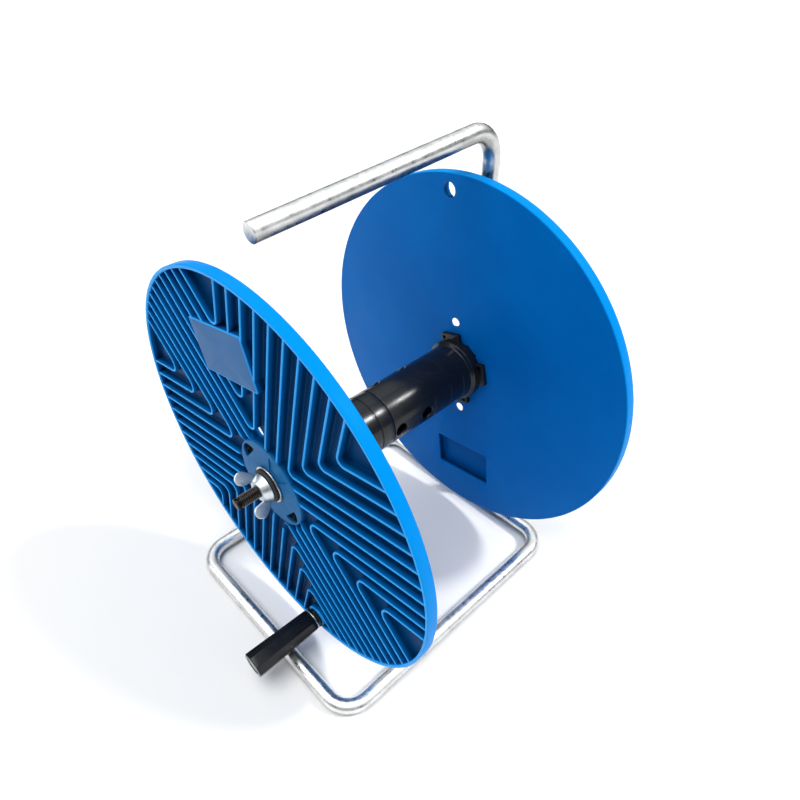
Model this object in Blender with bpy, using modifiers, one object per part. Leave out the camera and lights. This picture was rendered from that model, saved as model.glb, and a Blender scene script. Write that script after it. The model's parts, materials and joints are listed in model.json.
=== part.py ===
"""Hand crank wire winder: two ribbed plastic flanges on a two-part core turn on a threaded axle,
which a bent round bar frame carries between its floor loop and its carrying handle.

Metres, +Z up. The axle lies along Y and the crank side faces -Y. The origin is on the floor, under
the middle of the whole object. Station is the distance along the axle from the crank flange's rim.
"""
import bmesh
import bpy
import math
from mathutils import Matrix, Vector

# General fits
TOUCH_GAP = 0.0003
RUN_GAP = 0.0003
OVERLAP = 0.0005

# Drum
FLANGE_RADIUS = 0.165
FLANGE_DEPTH = 0.009
WEB_THICKNESS = 0.0022
RIM_WALL = 0.0026
RIM_ROUND = 0.0012
DRUM_GAP = 0.200
RIB_THICKNESS = 0.0022
RIB_PITCH = 0.013
RIB_SINK = 0.0005
RIB_HEADING = -89.5
RIB_REACH_INSET = 0.019
RIB_ROOT = 0.0015
PAD_RADIUS = 0.0368
PAD_SINK = 0.0015
PLATE_WIDTH = 0.067
PLATE_HEIGHT = 0.039
PLATE_OUT = 0.108
PLATE_SINK = 0.0002
PLATE_WALL = 0.0018
CRANK_HOLE_INSET = 0.0124
CRANK_HOLE_OUT = FLANGE_RADIUS - CRANK_HOLE_INSET
CRANK_HOLE_RADIUS = 0.0052
CRANK_BOSS_RADIUS = 0.0102
CRANK_BOSS_SINK = 0.0003
SIGHT_HOLE_OUT = 0.044
SIGHT_HOLE_RADIUS = 0.0033
SPIGOT_LENGTH = 0.005
SPIGOT_WALL = 0.003

# Core tube in two halves
CORE_RADIUS = 0.025
CORE_WALL = 0.0026
CORE_JOINT = 0.107
SOCKET_LENGTH = 0.016
SOCKET_WALL = 0.0022
SOCKET_ROOT = 0.0012
SNAP_GROOVE_BACK = 0.013
GROOVE_WIDTH = 0.0012
GROOVE_DEPTH = 0.0006
COLLAR_RADIUS = 0.028
COLLAR_LENGTH = 0.008
COLLAR_SLOPE = 0.002
LUG_OUT = 0.034
LUG_WIDTH = 0.020
LUG_THICKNESS = 0.0045
LUG_ROOT = 0.001
LUG_HOLE_RADIUS = 0.0017
LUG_HOLE_INSET = 0.003
LUG_HOLE_TURN = 12.0
CROSS_HOLE_RADIUS = 0.0056
CROSS_HOLE_PITCH = 0.030
CROSS_HOLE_STAGGER = 0.005
FRONT_FIRST_HOLE = 0.040
REAR_FIRST_HOLE = 0.1145
HOOK_WIDTH = 0.010
HOOK_THICKNESS = 0.0028
HOOK_BARB = 0.0022
HOOK_ROOT = 0.003
HOOK_SINK = 0.0008
HOOK_STEP = 0.0002
SLOT_WIDTH = 0.014
SLOT_LEDGE = 0.0033
SLOT_REACH = 0.032

# Axle, bushes and fasteners
AXLE_RADIUS = 0.004
AXLE_TIP_STATION = -0.029
AXLE_TIP_STEP = 0.0045
AXLE_TAIL = 0.003
AXLE_SHOULDER = 0.0008
AXLE_CHAMFER = 0.0006
BUSH_WALL = 0.0024
BUSH_HEAD_WALL = 0.0055
BUSH_HEAD_THICKNESS = 0.0015
FENDER_RADIUS = 0.0155
FENDER_THICKNESS = 0.0015
BRAKE_RADIUS = 0.014
BRAKE_THICKNESS = 0.0022
WING_HUB_BASE_RADIUS = 0.0085
WING_HUB_TOP_RADIUS = 0.0072
WING_HUB_HEIGHT = 0.0085
WING_HUB_EDGE = 0.0006
WING_THICKNESS = 0.0024
WING_ROOT = 0.0012
WING_PADDLE_RADIUS = 0.0055
WING_SPAN = 0.039
WING_HEIGHT = 0.0175
NUT_FLATS = 0.013
NUT_THICKNESS = 0.0065
REAR_WASHER_RADIUS = 0.008
REAR_WASHER_THICKNESS = 0.0016
SPACER_RADIUS = 0.010

# Frame
BAR_RADIUS = 0.007
HANDLE_BAR_RADIUS = 0.0066
BAR_SIDES = 16
FRAME_CLEARANCE = 0.0063
AXLE_OVER_LOOP = FLANGE_RADIUS + 0.008
LOOP_HALF_WIDTH = 0.1132
LOOP_OFFSET = -0.0045
LOOP_FRONT_STATION = -0.0334
LOOP_CORNER = 0.022
HANDLE_RISE = FLANGE_RADIUS + 0.0294
HANDLE_DROOP = 3.0
HANDLE_END_STATION = 0.024
HANDLE_BEND = 0.0215
HANDLE_CHAMFER = 0.0008
WELD_FLARE = 1.35
WELD_TAPER = 0.06
WELD_HEIGHT = 0.004
SEAT_REACH = 0.06
SEAT_DEPTH = 0.3

# Crank grip
GRIP_LENGTH = 0.0625
GRIP_BASE_RADIUS = 0.0107
GRIP_TIP_RADIUS = 0.0122
GRIP_SIDES = 8
GRIP_END_CHAMFER = 0.001
GRIP_TURN = 0.0
CAP_THICKNESS = 0.003
CAP_RADIUS = 0.0078
CAP_SINK = 0.0004
BOLT_RADIUS = 0.003
BOLT_HEAD_FLATS = 0.010
BOLT_HEAD_THICKNESS = 0.004
BOLT_NUT_THICKNESS = 0.005
BOLT_TAIL = 0.0015
CRANK_COLLAR_LENGTH = 0.0035
CRANK_COLLAR_FLATS = 0.017
CRANK_WASHER_RADIUS = 0.0098
CRANK_NUT_FLATS = 0.014
CRANK_WASHER_THICKNESS = 0.0012

# How each flange is turned, in degrees counterclockwise as seen from the crank side
CRANK_FLANGE_LABEL_HEADING = 101.5
REAR_FLANGE_LABEL_HEADING = 277.5
HUB_SLOT_HEADING = 38.0
LUG_HEADING = -7.0
WING_HEADING = 135.0
CROSS_HOLE_HEADINGS = (-3.0, 131.0)

# One row for each sector boundary of the rib pattern: first rib on either side, tip fillet
CHEVRONS = (
    (2.0, 1.5, 0.0045),
    (1.5, 2.0, 0.0060),
    (1.0, 2.0, 0.0095),
    (2.0, 2.5, 0.0060),
    (1.5, 1.0, 0.0060),
    (2.0, 1.0, 0.0095),
)

# Facets
RIM_STEPS = 72
TUBE_STEPS = 32
SMALL_STEPS = 20
DRILL_STEPS = 12
BEND_STEPS = 6
TIP_STEPS = 3

# Stations that follow from the sizes
INNER_FACE_STATION = FLANGE_DEPTH
REAR_INNER_STATION = INNER_FACE_STATION + DRUM_GAP
REAR_RIM_STATION = REAR_INNER_STATION + FLANGE_DEPTH
UPRIGHT_STATION = REAR_RIM_STATION + FRAME_CLEARANCE + HANDLE_BAR_RADIUS
BAR_FLAT = BAR_RADIUS * math.cos(math.pi / BAR_SIDES)
AXLE_HEIGHT = BAR_FLAT + AXLE_OVER_LOOP
REAR_WASHER_STATION = UPRIGHT_STATION + HANDLE_BAR_RADIUS + TOUCH_GAP
REAR_NUT_STATION = REAR_WASHER_STATION + REAR_WASHER_THICKNESS + TOUCH_GAP
AXLE_TAIL_STATION = REAR_NUT_STATION + NUT_THICKNESS + AXLE_TAIL
CRANK_COLLAR_STATION = -TOUCH_GAP - CRANK_COLLAR_LENGTH
CRANK_WASHER_STATION = CRANK_COLLAR_STATION - TOUCH_GAP - CRANK_WASHER_THICKNESS
GRIP_BASE_STATION = CRANK_WASHER_STATION - TOUCH_GAP
GRIP_TIP_STATION = GRIP_BASE_STATION - GRIP_LENGTH
MIDDLE_STATION = 0.5 * (GRIP_TIP_STATION + AXLE_TAIL_STATION)
BORE_RADIUS = AXLE_RADIUS + RUN_GAP
BUSH_RADIUS = BORE_RADIUS + BUSH_WALL
HUB_BORE_RADIUS = BUSH_RADIUS + TOUCH_GAP
CORE_BORE = CORE_RADIUS - CORE_WALL
SPIGOT_RADIUS = CORE_BORE - TOUCH_GAP
REAR_TURN = 180.0 - REAR_FLANGE_LABEL_HEADING


def start_scene():
    """Remove what the scene holds and make the two collections."""
    for old in list(bpy.data.objects):
        bpy.data.objects.remove(old, do_unlink=True)
    made = []
    for title in ("hand_crank_wire_winder", "cutters"):
        collection = bpy.data.collections.new(title)
        bpy.context.scene.collection.children.link(collection)
        made.append(collection)
    return made


PARTS, CUTTERS = start_scene()


def finish(title, colour, roughness, metallic):
    """A plain surface with the part's own colour."""
    material = bpy.data.materials.new(title)
    material.use_nodes = True
    surface = material.node_tree.nodes["Principled BSDF"]
    surface.inputs["Base Color"].default_value = (*colour, 1.0)
    surface.inputs["Roughness"].default_value = roughness
    surface.inputs["Metallic"].default_value = metallic
    return material


BLUE_PLASTIC = (0.010, 0.110, 0.400)
BLACK_PLASTIC = (0.012, 0.013, 0.015)
BRIGHT_STEEL = (0.62, 0.62, 0.60)
BLACK_STEEL = (0.030, 0.030, 0.032)
CAST_ZINC = (0.55, 0.60, 0.64)


def empty(title, parent=None, matrix=None):
    """A bare axis that pieces hang on."""
    axis = bpy.data.objects.new(title, None)
    PARTS.objects.link(axis)
    axis.parent = parent
    if matrix:
        axis.matrix_local = matrix
    return axis


def add_object(title, data, parent=None, matrix=None, surface=None):
    """Link a piece in the winder's collection."""
    thing = bpy.data.objects.new(title, data)
    PARTS.objects.link(thing)
    thing.parent = parent
    if matrix:
        thing.matrix_local = matrix
    if surface and not data.materials:
        data.materials.append(finish(title, *surface))
    return thing


def as_tool(thing):
    """Turn an object into a cutter or a shape to join, which the build leaves out."""
    for collection in list(thing.users_collection):
        collection.objects.unlink(thing)
    CUTTERS.objects.link(thing)
    thing.hide_render = True
    thing.display_type = "WIRE"
    return thing


def combine(thing, operation, tool):
    """Join a shape to a piece, or cut it out of the piece."""
    step = thing.modifiers.new(operation.lower() + "_" + tool.name, "BOOLEAN")
    step.operation = operation
    step.solver = "EXACT"
    step.object = tool
    return thing


def polar(out, heading):
    """Place on a flange, with the heading counterclockwise as seen from the crank side."""
    angle = math.radians(heading)
    return Vector((out * math.cos(angle), -out * math.sin(angle), 0.0))


def arc_profile(centre_out, centre_up, radius, first, last, count):
    """Points of a circular arc in a turned profile, as (out, up) pairs, with angles in degrees."""
    points = []
    for index in range(count + 1):
        angle = math.radians(first + (last - first) * index / count)
        points.append((centre_out + radius * math.cos(angle), centre_up + radius * math.sin(angle)))
    return points


def turned(title, profile, steps, parent=None, matrix=None, surface=None):
    """Turn a profile of (out, up) pairs, which runs down its outer side, about local Z.

    A profile that starts and ends on the axis stays open there, and any other is closed to a ring.
    """
    mesh = bpy.data.meshes.new(title)
    count = len(profile)
    solid = profile[0][0] == 0.0 and profile[-1][0] == 0.0
    edges = [(index, (index + 1) % count) for index in range(count - solid)]
    mesh.from_pydata([(out, 0.0, up) for out, up in profile], edges, [])
    thing = add_object(title, mesh, parent, matrix, surface)
    screw = thing.modifiers.new("turn", "SCREW")
    screw.steps = steps
    screw.render_steps = steps
    screw.use_merge_vertices = True
    screw.merge_threshold = 0.00001
    screw.use_smooth_shade = False
    return thing


def ring(title, inner, outer, low, high, steps, parent=None, surface=None):
    """A plain washer, bush or tube between two heights."""
    profile = [(inner, high), (outer, high), (outer, low), (inner, low)]
    return turned(title, profile, steps, parent, None, surface)


def primitive(title, parent, spot, surface, maker, **sizes):
    """A box or a cylinder from the mesh primitives."""
    mesh = bpy.data.meshes.new(title)
    shape = bmesh.new()
    maker(shape, **sizes)
    shape.to_mesh(mesh)
    shape.free()
    return add_object(title, mesh, parent, spot, surface)


def rod(title, radius, low, high, steps, parent=None, place=None, surface=None):
    """A cylinder along local Z between two heights, at a place beside the axis."""
    middle = Matrix.Translation((place or Vector()) + Vector((0.0, 0.0, 0.5 * (low + high))))
    return primitive(title, parent, middle, surface, bmesh.ops.create_cone, cap_ends=True,
                     segments=steps, radius1=radius, radius2=radius, depth=high - low)


def block(title, size, parent, matrix, surface=None):
    """A box of the given size, whose scale lies in its mesh."""
    return primitive(title, parent, matrix, surface, bmesh.ops.create_cube, size=1.0,
                     matrix=Matrix.Diagonal((*size, 1.0)))


def outline(title, loops, thickness, parent=None, matrix=None):
    """Flat closed outlines, filled and given a thickness on both sides of their plane."""
    curve = bpy.data.curves.new(title, "CURVE")
    curve.dimensions = "2D"
    curve.fill_mode = "BOTH"
    curve.extrude = 0.5 * thickness
    for loop in loops:
        spline = curve.splines.new("POLY")
        spline.points.add(len(loop) - 1)
        for point, place in zip(spline.points, loop):
            point.co = (place[0], place[1], 0.0, 1.0)
        spline.use_cyclic_u = True
    return mesh_from_curve(title, curve, parent, matrix)


def mesh_from_curve(title, curve, parent=None, matrix=None, surface=None):
    """Make a curve a closed mesh, because a curve can't be cut or joined."""
    guide = add_object(title + "_guide", curve, parent, matrix)
    bpy.context.view_layer.update()
    evaluated = guide.evaluated_get(bpy.context.evaluated_depsgraph_get())
    mesh = bpy.data.meshes.new_from_object(evaluated)
    mesh.name = title
    shape = bmesh.new()
    shape.from_mesh(mesh)
    bmesh.ops.remove_doubles(shape, verts=shape.verts, dist=0.000005)
    shape.to_mesh(mesh)
    shape.free()
    thing = add_object(title, mesh, None, None, surface)
    thing.parent = parent
    thing.matrix_world = guide.matrix_world.copy()
    bpy.data.objects.remove(guide, do_unlink=True)
    return thing


def rib_line_end(direction, normal, offset, out):
    """Where a straight rib at this offset from its sector's middle meets a circle."""
    along = math.sqrt(out * out - offset * offset)
    return direction * along + normal * offset


def ribbon(points, sides):
    """Outline of a rib of even thickness along its middle line."""
    half = 0.5 * RIB_THICKNESS
    there = [point + side * half for point, side in zip(points, sides)]
    back = [point - side * half for point, side in zip(points, sides)]
    return there + back[::-1]


def sector_axes(index):
    """Direction and left-hand normal of the ribs in one sixth of the flange."""
    angle = math.radians(RIB_HEADING + 60.0 * index)
    return Vector((math.cos(angle), math.sin(angle))), Vector((-math.sin(angle), math.cos(angle)))


def chevron(index, offset_first, offset_second, fillet):
    """A bent rib across a sector boundary: two straight arms and a rounded tip toward the hub."""
    along_a, normal_a = sector_axes(index)
    along_b, normal_b = sector_axes(index + 1)
    half_turn = math.radians(30.0)
    reach = (offset_first * normal_a.dot(normal_b) + offset_second) / -along_a.dot(normal_b)
    vertex = normal_a * offset_first + along_a * reach
    centre = vertex + (along_a + along_b).normalized() * fillet / math.sin(half_turn)
    end = FLANGE_RADIUS - 0.5 * RIM_WALL
    points = [rib_line_end(along_a, normal_a, offset_first, end)]
    sides = [-normal_a]
    for step in range(TIP_STEPS + 1):
        angle = math.radians(RIB_HEADING + 60.0 * index - 90.0 - 120.0 * step / TIP_STEPS)
        side = Vector((math.cos(angle), math.sin(angle)))
        points.append(centre + side * fillet)
        sides.append(side)
    points.append(rib_line_end(along_b, normal_b, -offset_second, end))
    sides.append(normal_b)
    tip_out = centre.length - fillet
    return ribbon(points, sides), tip_out


def straight_rib(index, offset):
    """A rib from the hub pad to the rim wall."""
    along, normal = sector_axes(index)
    inner = rib_line_end(along, normal, offset, PAD_RADIUS - RIB_ROOT)
    outer = rib_line_end(along, normal, offset, FLANGE_RADIUS - 0.5 * RIM_WALL)
    return ribbon([inner, outer], [normal, normal])


def rib_outlines():
    """All ribs of one flange, seen from its ribbed side with the label plate's heading as zero."""
    loops = []
    for index, (first, second, fillet) in enumerate(CHEVRONS):
        turn = 0
        while True:
            loop, tip = chevron(index, (first + turn) * RIB_PITCH, (second + turn) * RIB_PITCH, fillet)
            if tip > FLANGE_RADIUS - RIB_REACH_INSET:
                break
            loops.append(loop)
            turn += 1
        right_first = CHEVRONS[index - 1][1]
        offset = 1.0 - right_first
        while offset < first - 0.25:
            loops.append(straight_rib(index, offset * RIB_PITCH))
            offset += 1.0
    return [[(point.x, -point.y) for point in loop] for loop in loops]


def radial(heading, out=0.0, up=0.0):
    """A frame at a place on the flange, with its X axis pointing away from the hub."""
    spot = Matrix.Translation(polar(out, heading) + Vector((0.0, 0.0, up)))
    return spot @ Matrix.Rotation(math.radians(-heading), 4, "Z")


def flange_mesh_object(title, parent, matrix):
    """The moulded flange: dish, ribs, hub pad, label plate and boss, with its holes and pocket."""
    web_top = FLANGE_DEPTH - WEB_THICKNESS
    profile = [(0.0, FLANGE_DEPTH)]
    profile += arc_profile(FLANGE_RADIUS - RIM_ROUND, FLANGE_DEPTH - RIM_ROUND, RIM_ROUND, 90.0, 0.0, 2)
    profile += [
        (FLANGE_RADIUS, 0.0),
        (FLANGE_RADIUS - RIM_WALL, 0.0),
        (FLANGE_RADIUS - RIM_WALL, web_top),
        (PAD_RADIUS, web_top),
        (PAD_RADIUS, PAD_SINK),
        (0.0, PAD_SINK),
    ]
    flange = turned(title, profile, RIM_STEPS, parent, matrix, (BLUE_PLASTIC, 0.38, 0.0))
    rib_height = web_top + OVERLAP - RIB_SINK
    ribs = outline("ribs", rib_outlines(), rib_height, flange,
                   Matrix.Translation((0.0, 0.0, RIB_SINK + 0.5 * rib_height)))
    plate_height = web_top + OVERLAP - PLATE_SINK
    plate = block("label_plate", (PLATE_HEIGHT, PLATE_WIDTH, plate_height), flange,
                  radial(0.0, PLATE_OUT, PLATE_SINK + 0.5 * plate_height))
    boss = rod("crank_boss", CRANK_BOSS_RADIUS, CRANK_BOSS_SINK, web_top + OVERLAP, SMALL_STEPS, flange,
               polar(CRANK_HOLE_OUT, 180.0))
    spigot = ring("core_spigot", SPIGOT_RADIUS - SPIGOT_WALL, SPIGOT_RADIUS, FLANGE_DEPTH - OVERLAP,
                  FLANGE_DEPTH + SPIGOT_LENGTH, TUBE_STEPS, flange)
    for tool in (ribs, plate, boss, spigot):
        combine(flange, "UNION", as_tool(tool))
    pocket_floor = PLATE_SINK + PLATE_WALL
    pocket_height = 2.0 * (FLANGE_DEPTH - pocket_floor)
    pocket = block("label_pocket",
                   (PLATE_HEIGHT - 2.0 * PLATE_WALL, PLATE_WIDTH - 2.0 * PLATE_WALL, pocket_height),
                   flange, radial(0.0, PLATE_OUT, pocket_floor + 0.5 * pocket_height))
    low = -FLANGE_DEPTH
    high = 2.0 * FLANGE_DEPTH
    tools = [pocket, rod("hub_bore", HUB_BORE_RADIUS, low, high, SMALL_STEPS, flange)]
    tools.append(rod("crank_hole", CRANK_HOLE_RADIUS, low, high, SMALL_STEPS, flange,
                     polar(CRANK_HOLE_OUT, 180.0)))
    for turn in (0.0, 180.0):
        tools.append(rod("sight_hole", SIGHT_HOLE_RADIUS, low, high, DRILL_STEPS, flange,
                         polar(SIGHT_HOLE_OUT, turn)))
    slot_inner = COLLAR_RADIUS - HOOK_THICKNESS - RUN_GAP
    slot_outer = COLLAR_RADIUS + RUN_GAP
    slot_middle = 0.5 * (slot_inner + slot_outer)
    ledge = PAD_SINK + SLOT_LEDGE
    ledge_width = SLOT_WIDTH - 2.0 * OVERLAP
    for turn in (HUB_SLOT_HEADING, HUB_SLOT_HEADING + 180.0):
        tools.append(block("hook_slot", (slot_outer - slot_inner, SLOT_WIDTH, high - low), flange,
                           radial(turn, slot_middle, 0.5 * (low + high))))
        tools.append(block("hook_ledge", (SLOT_REACH - slot_middle, ledge_width, ledge - low), flange,
                           radial(turn, 0.5 * (slot_middle + SLOT_REACH), 0.5 * (low + ledge))))
    for tool in tools:
        combine(flange, "DIFFERENCE", as_tool(tool))
    return flange


def add_lugs(core, face, inward, lug_heading, hook_heading):
    """Four lugs on the collar of a core half, and the two hooks that reach through a flange."""
    shapes = []
    inner = CORE_RADIUS - LUG_ROOT
    for quarter in range(4):
        shapes.append(block("lug", (LUG_OUT - inner, LUG_WIDTH, LUG_THICKNESS), core,
                            radial(lug_heading + 90.0 * quarter, 0.5 * (inner + LUG_OUT),
                                   face + inward * 0.5 * LUG_THICKNESS)))
    pad_face = face - inward * (TOUCH_GAP + FLANGE_DEPTH - PAD_SINK)
    post_end = pad_face + inward * HOOK_SINK
    barb_end = pad_face + inward * (SLOT_LEDGE - TOUCH_GAP)
    root = face + inward * HOOK_ROOT
    post = (HOOK_THICKNESS - HOOK_STEP, HOOK_WIDTH, abs(root - post_end))
    post_out = COLLAR_RADIUS - 0.5 * (HOOK_THICKNESS + HOOK_STEP)
    barb = (HOOK_BARB + LUG_ROOT, HOOK_WIDTH - LUG_ROOT, abs(post_end - barb_end) - 2.0 * HOOK_STEP)
    barb_out = COLLAR_RADIUS + 0.5 * (HOOK_BARB - LUG_ROOT)
    for turn in (0.0, 180.0):
        heading = hook_heading + turn
        shapes.append(block("hook_post", post, core, radial(heading, post_out, 0.5 * (root + post_end))))
        shapes.append(block("hook_barb", barb, core, radial(heading, barb_out, 0.5 * (post_end + barb_end))))
    for shape in shapes:
        combine(core, "UNION", as_tool(shape))
    for quarter in range(4):
        place = polar(LUG_OUT - LUG_HOLE_INSET, lug_heading + 90.0 * quarter + LUG_HOLE_TURN)
        hole = rod("lug_hole", LUG_HOLE_RADIUS, face - COLLAR_RADIUS, face + COLLAR_RADIUS, DRILL_STEPS,
                   core, place)
        combine(core, "DIFFERENCE", as_tool(hole))


def drill_core(core, first_station):
    """Two rows of cross holes that run straight through the tube, the second row staggered."""
    for row, heading in enumerate(CROSS_HOLE_HEADINGS):
        for turn in range(2):
            station = first_station + row * CROSS_HOLE_STAGGER + turn * CROSS_HOLE_PITCH
            across = radial(heading, 0.0, station) @ Matrix.Rotation(math.radians(90.0), 4, "Y")
            drill = primitive("cross_drill", core, across, None, bmesh.ops.create_cone, cap_ends=True,
                              segments=DRILL_STEPS, radius1=CROSS_HOLE_RADIUS,
                              radius2=CROSS_HOLE_RADIUS, depth=4.0 * CORE_RADIUS)
            combine(core, "DIFFERENCE", as_tool(drill))


def core_front(parent):
    """The core half next to the crank, with the socket that takes the rear half."""
    face = INNER_FACE_STATION + TOUCH_GAP
    collar_top = face + COLLAR_LENGTH
    groove = CORE_JOINT - SNAP_GROOVE_BACK
    profile = [
        (CORE_BORE, CORE_JOINT),
        (CORE_RADIUS - GROOVE_DEPTH, CORE_JOINT),
        (CORE_RADIUS, CORE_JOINT - GROOVE_DEPTH),
        (CORE_RADIUS, groove + 0.5 * GROOVE_WIDTH),
        (CORE_RADIUS - GROOVE_DEPTH, groove),
        (CORE_RADIUS, groove - 0.5 * GROOVE_WIDTH),
        (CORE_RADIUS, collar_top + COLLAR_SLOPE),
        (COLLAR_RADIUS, collar_top),
        (COLLAR_RADIUS, face),
        (CORE_BORE, face),
    ]
    core = turned("core_front_half", profile, TUBE_STEPS, parent, None, (BLACK_PLASTIC, 0.3, 0.0))
    add_lugs(core, face, 1.0, CRANK_FLANGE_LABEL_HEADING + LUG_HEADING,
             CRANK_FLANGE_LABEL_HEADING + HUB_SLOT_HEADING)
    drill_core(core, FRONT_FIRST_HOLE)
    return core


def core_rear(parent):
    """The core half next to the frame, with the spigot that enters the front half."""
    face = REAR_INNER_STATION - TOUCH_GAP
    collar_low = face - COLLAR_LENGTH
    root = CORE_JOINT + TOUCH_GAP
    socket_radius = CORE_BORE - TOUCH_GAP
    socket_bore = socket_radius - SOCKET_WALL
    profile = [
        (CORE_BORE, face),
        (COLLAR_RADIUS, face),
        (COLLAR_RADIUS, collar_low),
        (CORE_RADIUS, collar_low - COLLAR_SLOPE),
    ]
    profile += [
        (CORE_RADIUS, root),
        (socket_radius, root),
        (socket_radius, CORE_JOINT - SOCKET_LENGTH),
        (socket_bore, CORE_JOINT - SOCKET_LENGTH),
        (socket_bore, root + SOCKET_ROOT),
        (CORE_BORE, root + SOCKET_ROOT),
    ]
    core = turned("core_rear_half", profile, TUBE_STEPS, parent, None, (BLACK_PLASTIC, 0.3, 0.0))
    add_lugs(core, face, -1.0, REAR_FLANGE_LABEL_HEADING - LUG_HEADING,
             REAR_FLANGE_LABEL_HEADING - HUB_SLOT_HEADING)
    drill_core(core, REAR_FIRST_HOLE)
    return core


def bush(title, parent, pad_station, inner_station):
    """A bearing bush pressed in a flange's hub, with its head inside the core."""
    inward = 1.0 if inner_station > pad_station else -1.0
    outer_end = pad_station + inward * TOUCH_GAP
    head_root = inner_station + inward * TOUCH_GAP
    head_end = head_root + inward * BUSH_HEAD_THICKNESS
    head_radius = BORE_RADIUS + BUSH_HEAD_WALL
    profile = [
        (BORE_RADIUS, outer_end),
        (BUSH_RADIUS, outer_end),
        (BUSH_RADIUS, head_root),
        (head_radius, head_root),
        (head_radius, head_end),
        (BORE_RADIUS, head_end),
    ]
    if inward > 0.0:
        profile = profile[::-1]
    return turned(title, profile, SMALL_STEPS, parent, None, (BLACK_PLASTIC, 0.4, 0.0))


def axle_rod(parent):
    """The threaded axle, with a stepped tip in front of the wing nut."""
    step_radius = AXLE_RADIUS - AXLE_SHOULDER
    step_station = AXLE_TIP_STATION + AXLE_TIP_STEP
    profile = [
        (0.0, AXLE_TAIL_STATION),
        (AXLE_RADIUS - AXLE_CHAMFER, AXLE_TAIL_STATION),
        (AXLE_RADIUS, AXLE_TAIL_STATION - AXLE_CHAMFER),
        (AXLE_RADIUS, step_station + AXLE_SHOULDER),
        (step_radius, step_station),
        (step_radius, AXLE_TIP_STATION + AXLE_CHAMFER),
        (step_radius - AXLE_CHAMFER, AXLE_TIP_STATION),
        (0.0, AXLE_TIP_STATION),
    ]
    return turned("axle_rod", profile, SMALL_STEPS, parent, None, (BLACK_STEEL, 0.4, 1.0))


def hex_nut(title, parent, flats, bore, low, high, place=None, surface=(BRIGHT_STEEL, 0.35, 1.0)):
    """A hexagonal nut across the given flats, with a plain bore."""
    corner = 0.5 * flats / math.cos(math.radians(30.0))
    spot = Matrix.Translation((place or Vector()) + Vector((0.0, 0.0, 0.5 * (low + high))))
    nut = primitive(title, parent, spot, surface, bmesh.ops.create_cone, cap_ends=True, segments=6,
                    radius1=corner, radius2=corner, depth=high - low)
    hole = rod(title + "_bore", bore, low - flats, high + flats, SMALL_STEPS, parent, place)
    combine(nut, "DIFFERENCE", as_tool(hole))
    return nut


def wing_nut(parent, base_station):
    """The cast wing nut: a tapered hub with two rounded paddles that lean away from the drum."""
    top = base_station - WING_HUB_HEIGHT
    profile = [
        (BORE_RADIUS, base_station),
        (WING_HUB_BASE_RADIUS, base_station),
        (WING_HUB_TOP_RADIUS, top + WING_HUB_EDGE),
        (WING_HUB_TOP_RADIUS - WING_HUB_EDGE, top),
        (BORE_RADIUS, top),
    ]
    nut = turned("wing_nut", profile, SMALL_STEPS, parent, None, (CAST_ZINC, 0.3, 1.0))
    centre_out = 0.5 * WING_SPAN - WING_PADDLE_RADIUS
    centre_up = WING_HEIGHT - WING_PADDLE_RADIUS
    rim = arc_profile(centre_out, centre_up, WING_PADDLE_RADIUS, -40.0, 150.0, 12)
    root_out = WING_HUB_TOP_RADIUS - WING_ROOT
    root_up = WING_HUB_HEIGHT - WING_ROOT
    paddle = [(root_out, WING_ROOT), (WING_HUB_BASE_RADIUS + WING_HUB_EDGE, WING_ROOT)]
    paddle += rim
    paddle += [(WING_HUB_TOP_RADIUS + WING_ROOT, root_up), (root_out, root_up)]
    for turn in (0.0, 180.0):
        # The paddle's plane holds the axle: its X points away from the hub and its Y toward the tip
        upright = Matrix(((1, 0, 0, 0), (0, 0, 1, 0), (0, -1, 0, 0), (0, 0, 0, 1)))
        place = Matrix.Translation((0.0, 0.0, base_station)) @ radial(WING_HEADING + turn) @ upright
        wing = outline("wing", [paddle], WING_THICKNESS, parent, place)
        combine(nut, "UNION", as_tool(wing))
    return nut


def rounded_path(corners, fillet, closed=False):
    """Points along straight runs whose corners are arcs, with the arcs worked out from the corners."""
    count = len(corners)
    points = []
    for index, corner in enumerate(corners):
        if not closed and index in (0, count - 1):
            points.append(corner.copy())
            continue
        before = (corners[index - 1] - corner).normalized()
        after = (corners[(index + 1) % count] - corner).normalized()
        half = 0.5 * before.angle(after)
        centre = corner + (before + after).normalized() * fillet / math.sin(half)
        start = corner + before * fillet / math.tan(half) - centre
        axis = before.cross(after).normalized()
        sweep = -(math.pi - 2.0 * half)
        for step in range(BEND_STEPS + 1):
            turn = Matrix.Rotation(sweep * step / BEND_STEPS, 3, axis)
            points.append(centre + turn @ start)
    return points


def bar(title, path, radius, closed, widths=None):
    """Round bar bent along a path, with a flat of its section facing down and up."""
    curve = bpy.data.curves.new(title, "CURVE")
    curve.dimensions = "3D"
    curve.bevel_depth = radius
    curve.bevel_resolution = (BAR_SIDES - 4) // 2
    curve.use_fill_caps = not closed
    curve.twist_mode = "MINIMUM"
    spline = curve.splines.new("POLY")
    spline.points.add(len(path) - 1)
    for index, (point, place) in enumerate(zip(spline.points, path)):
        point.co = (*place, 1.0)
        point.tilt = math.pi / BAR_SIDES
        point.radius = widths[index] if widths else 1.0
    spline.use_cyclic_u = closed
    return mesh_from_curve(title, curve, None, None, (BRIGHT_STEEL, 0.3, 1.0))


def station_y(station):
    """World Y of a place along the axle."""
    return station - MIDDLE_STATION


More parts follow.
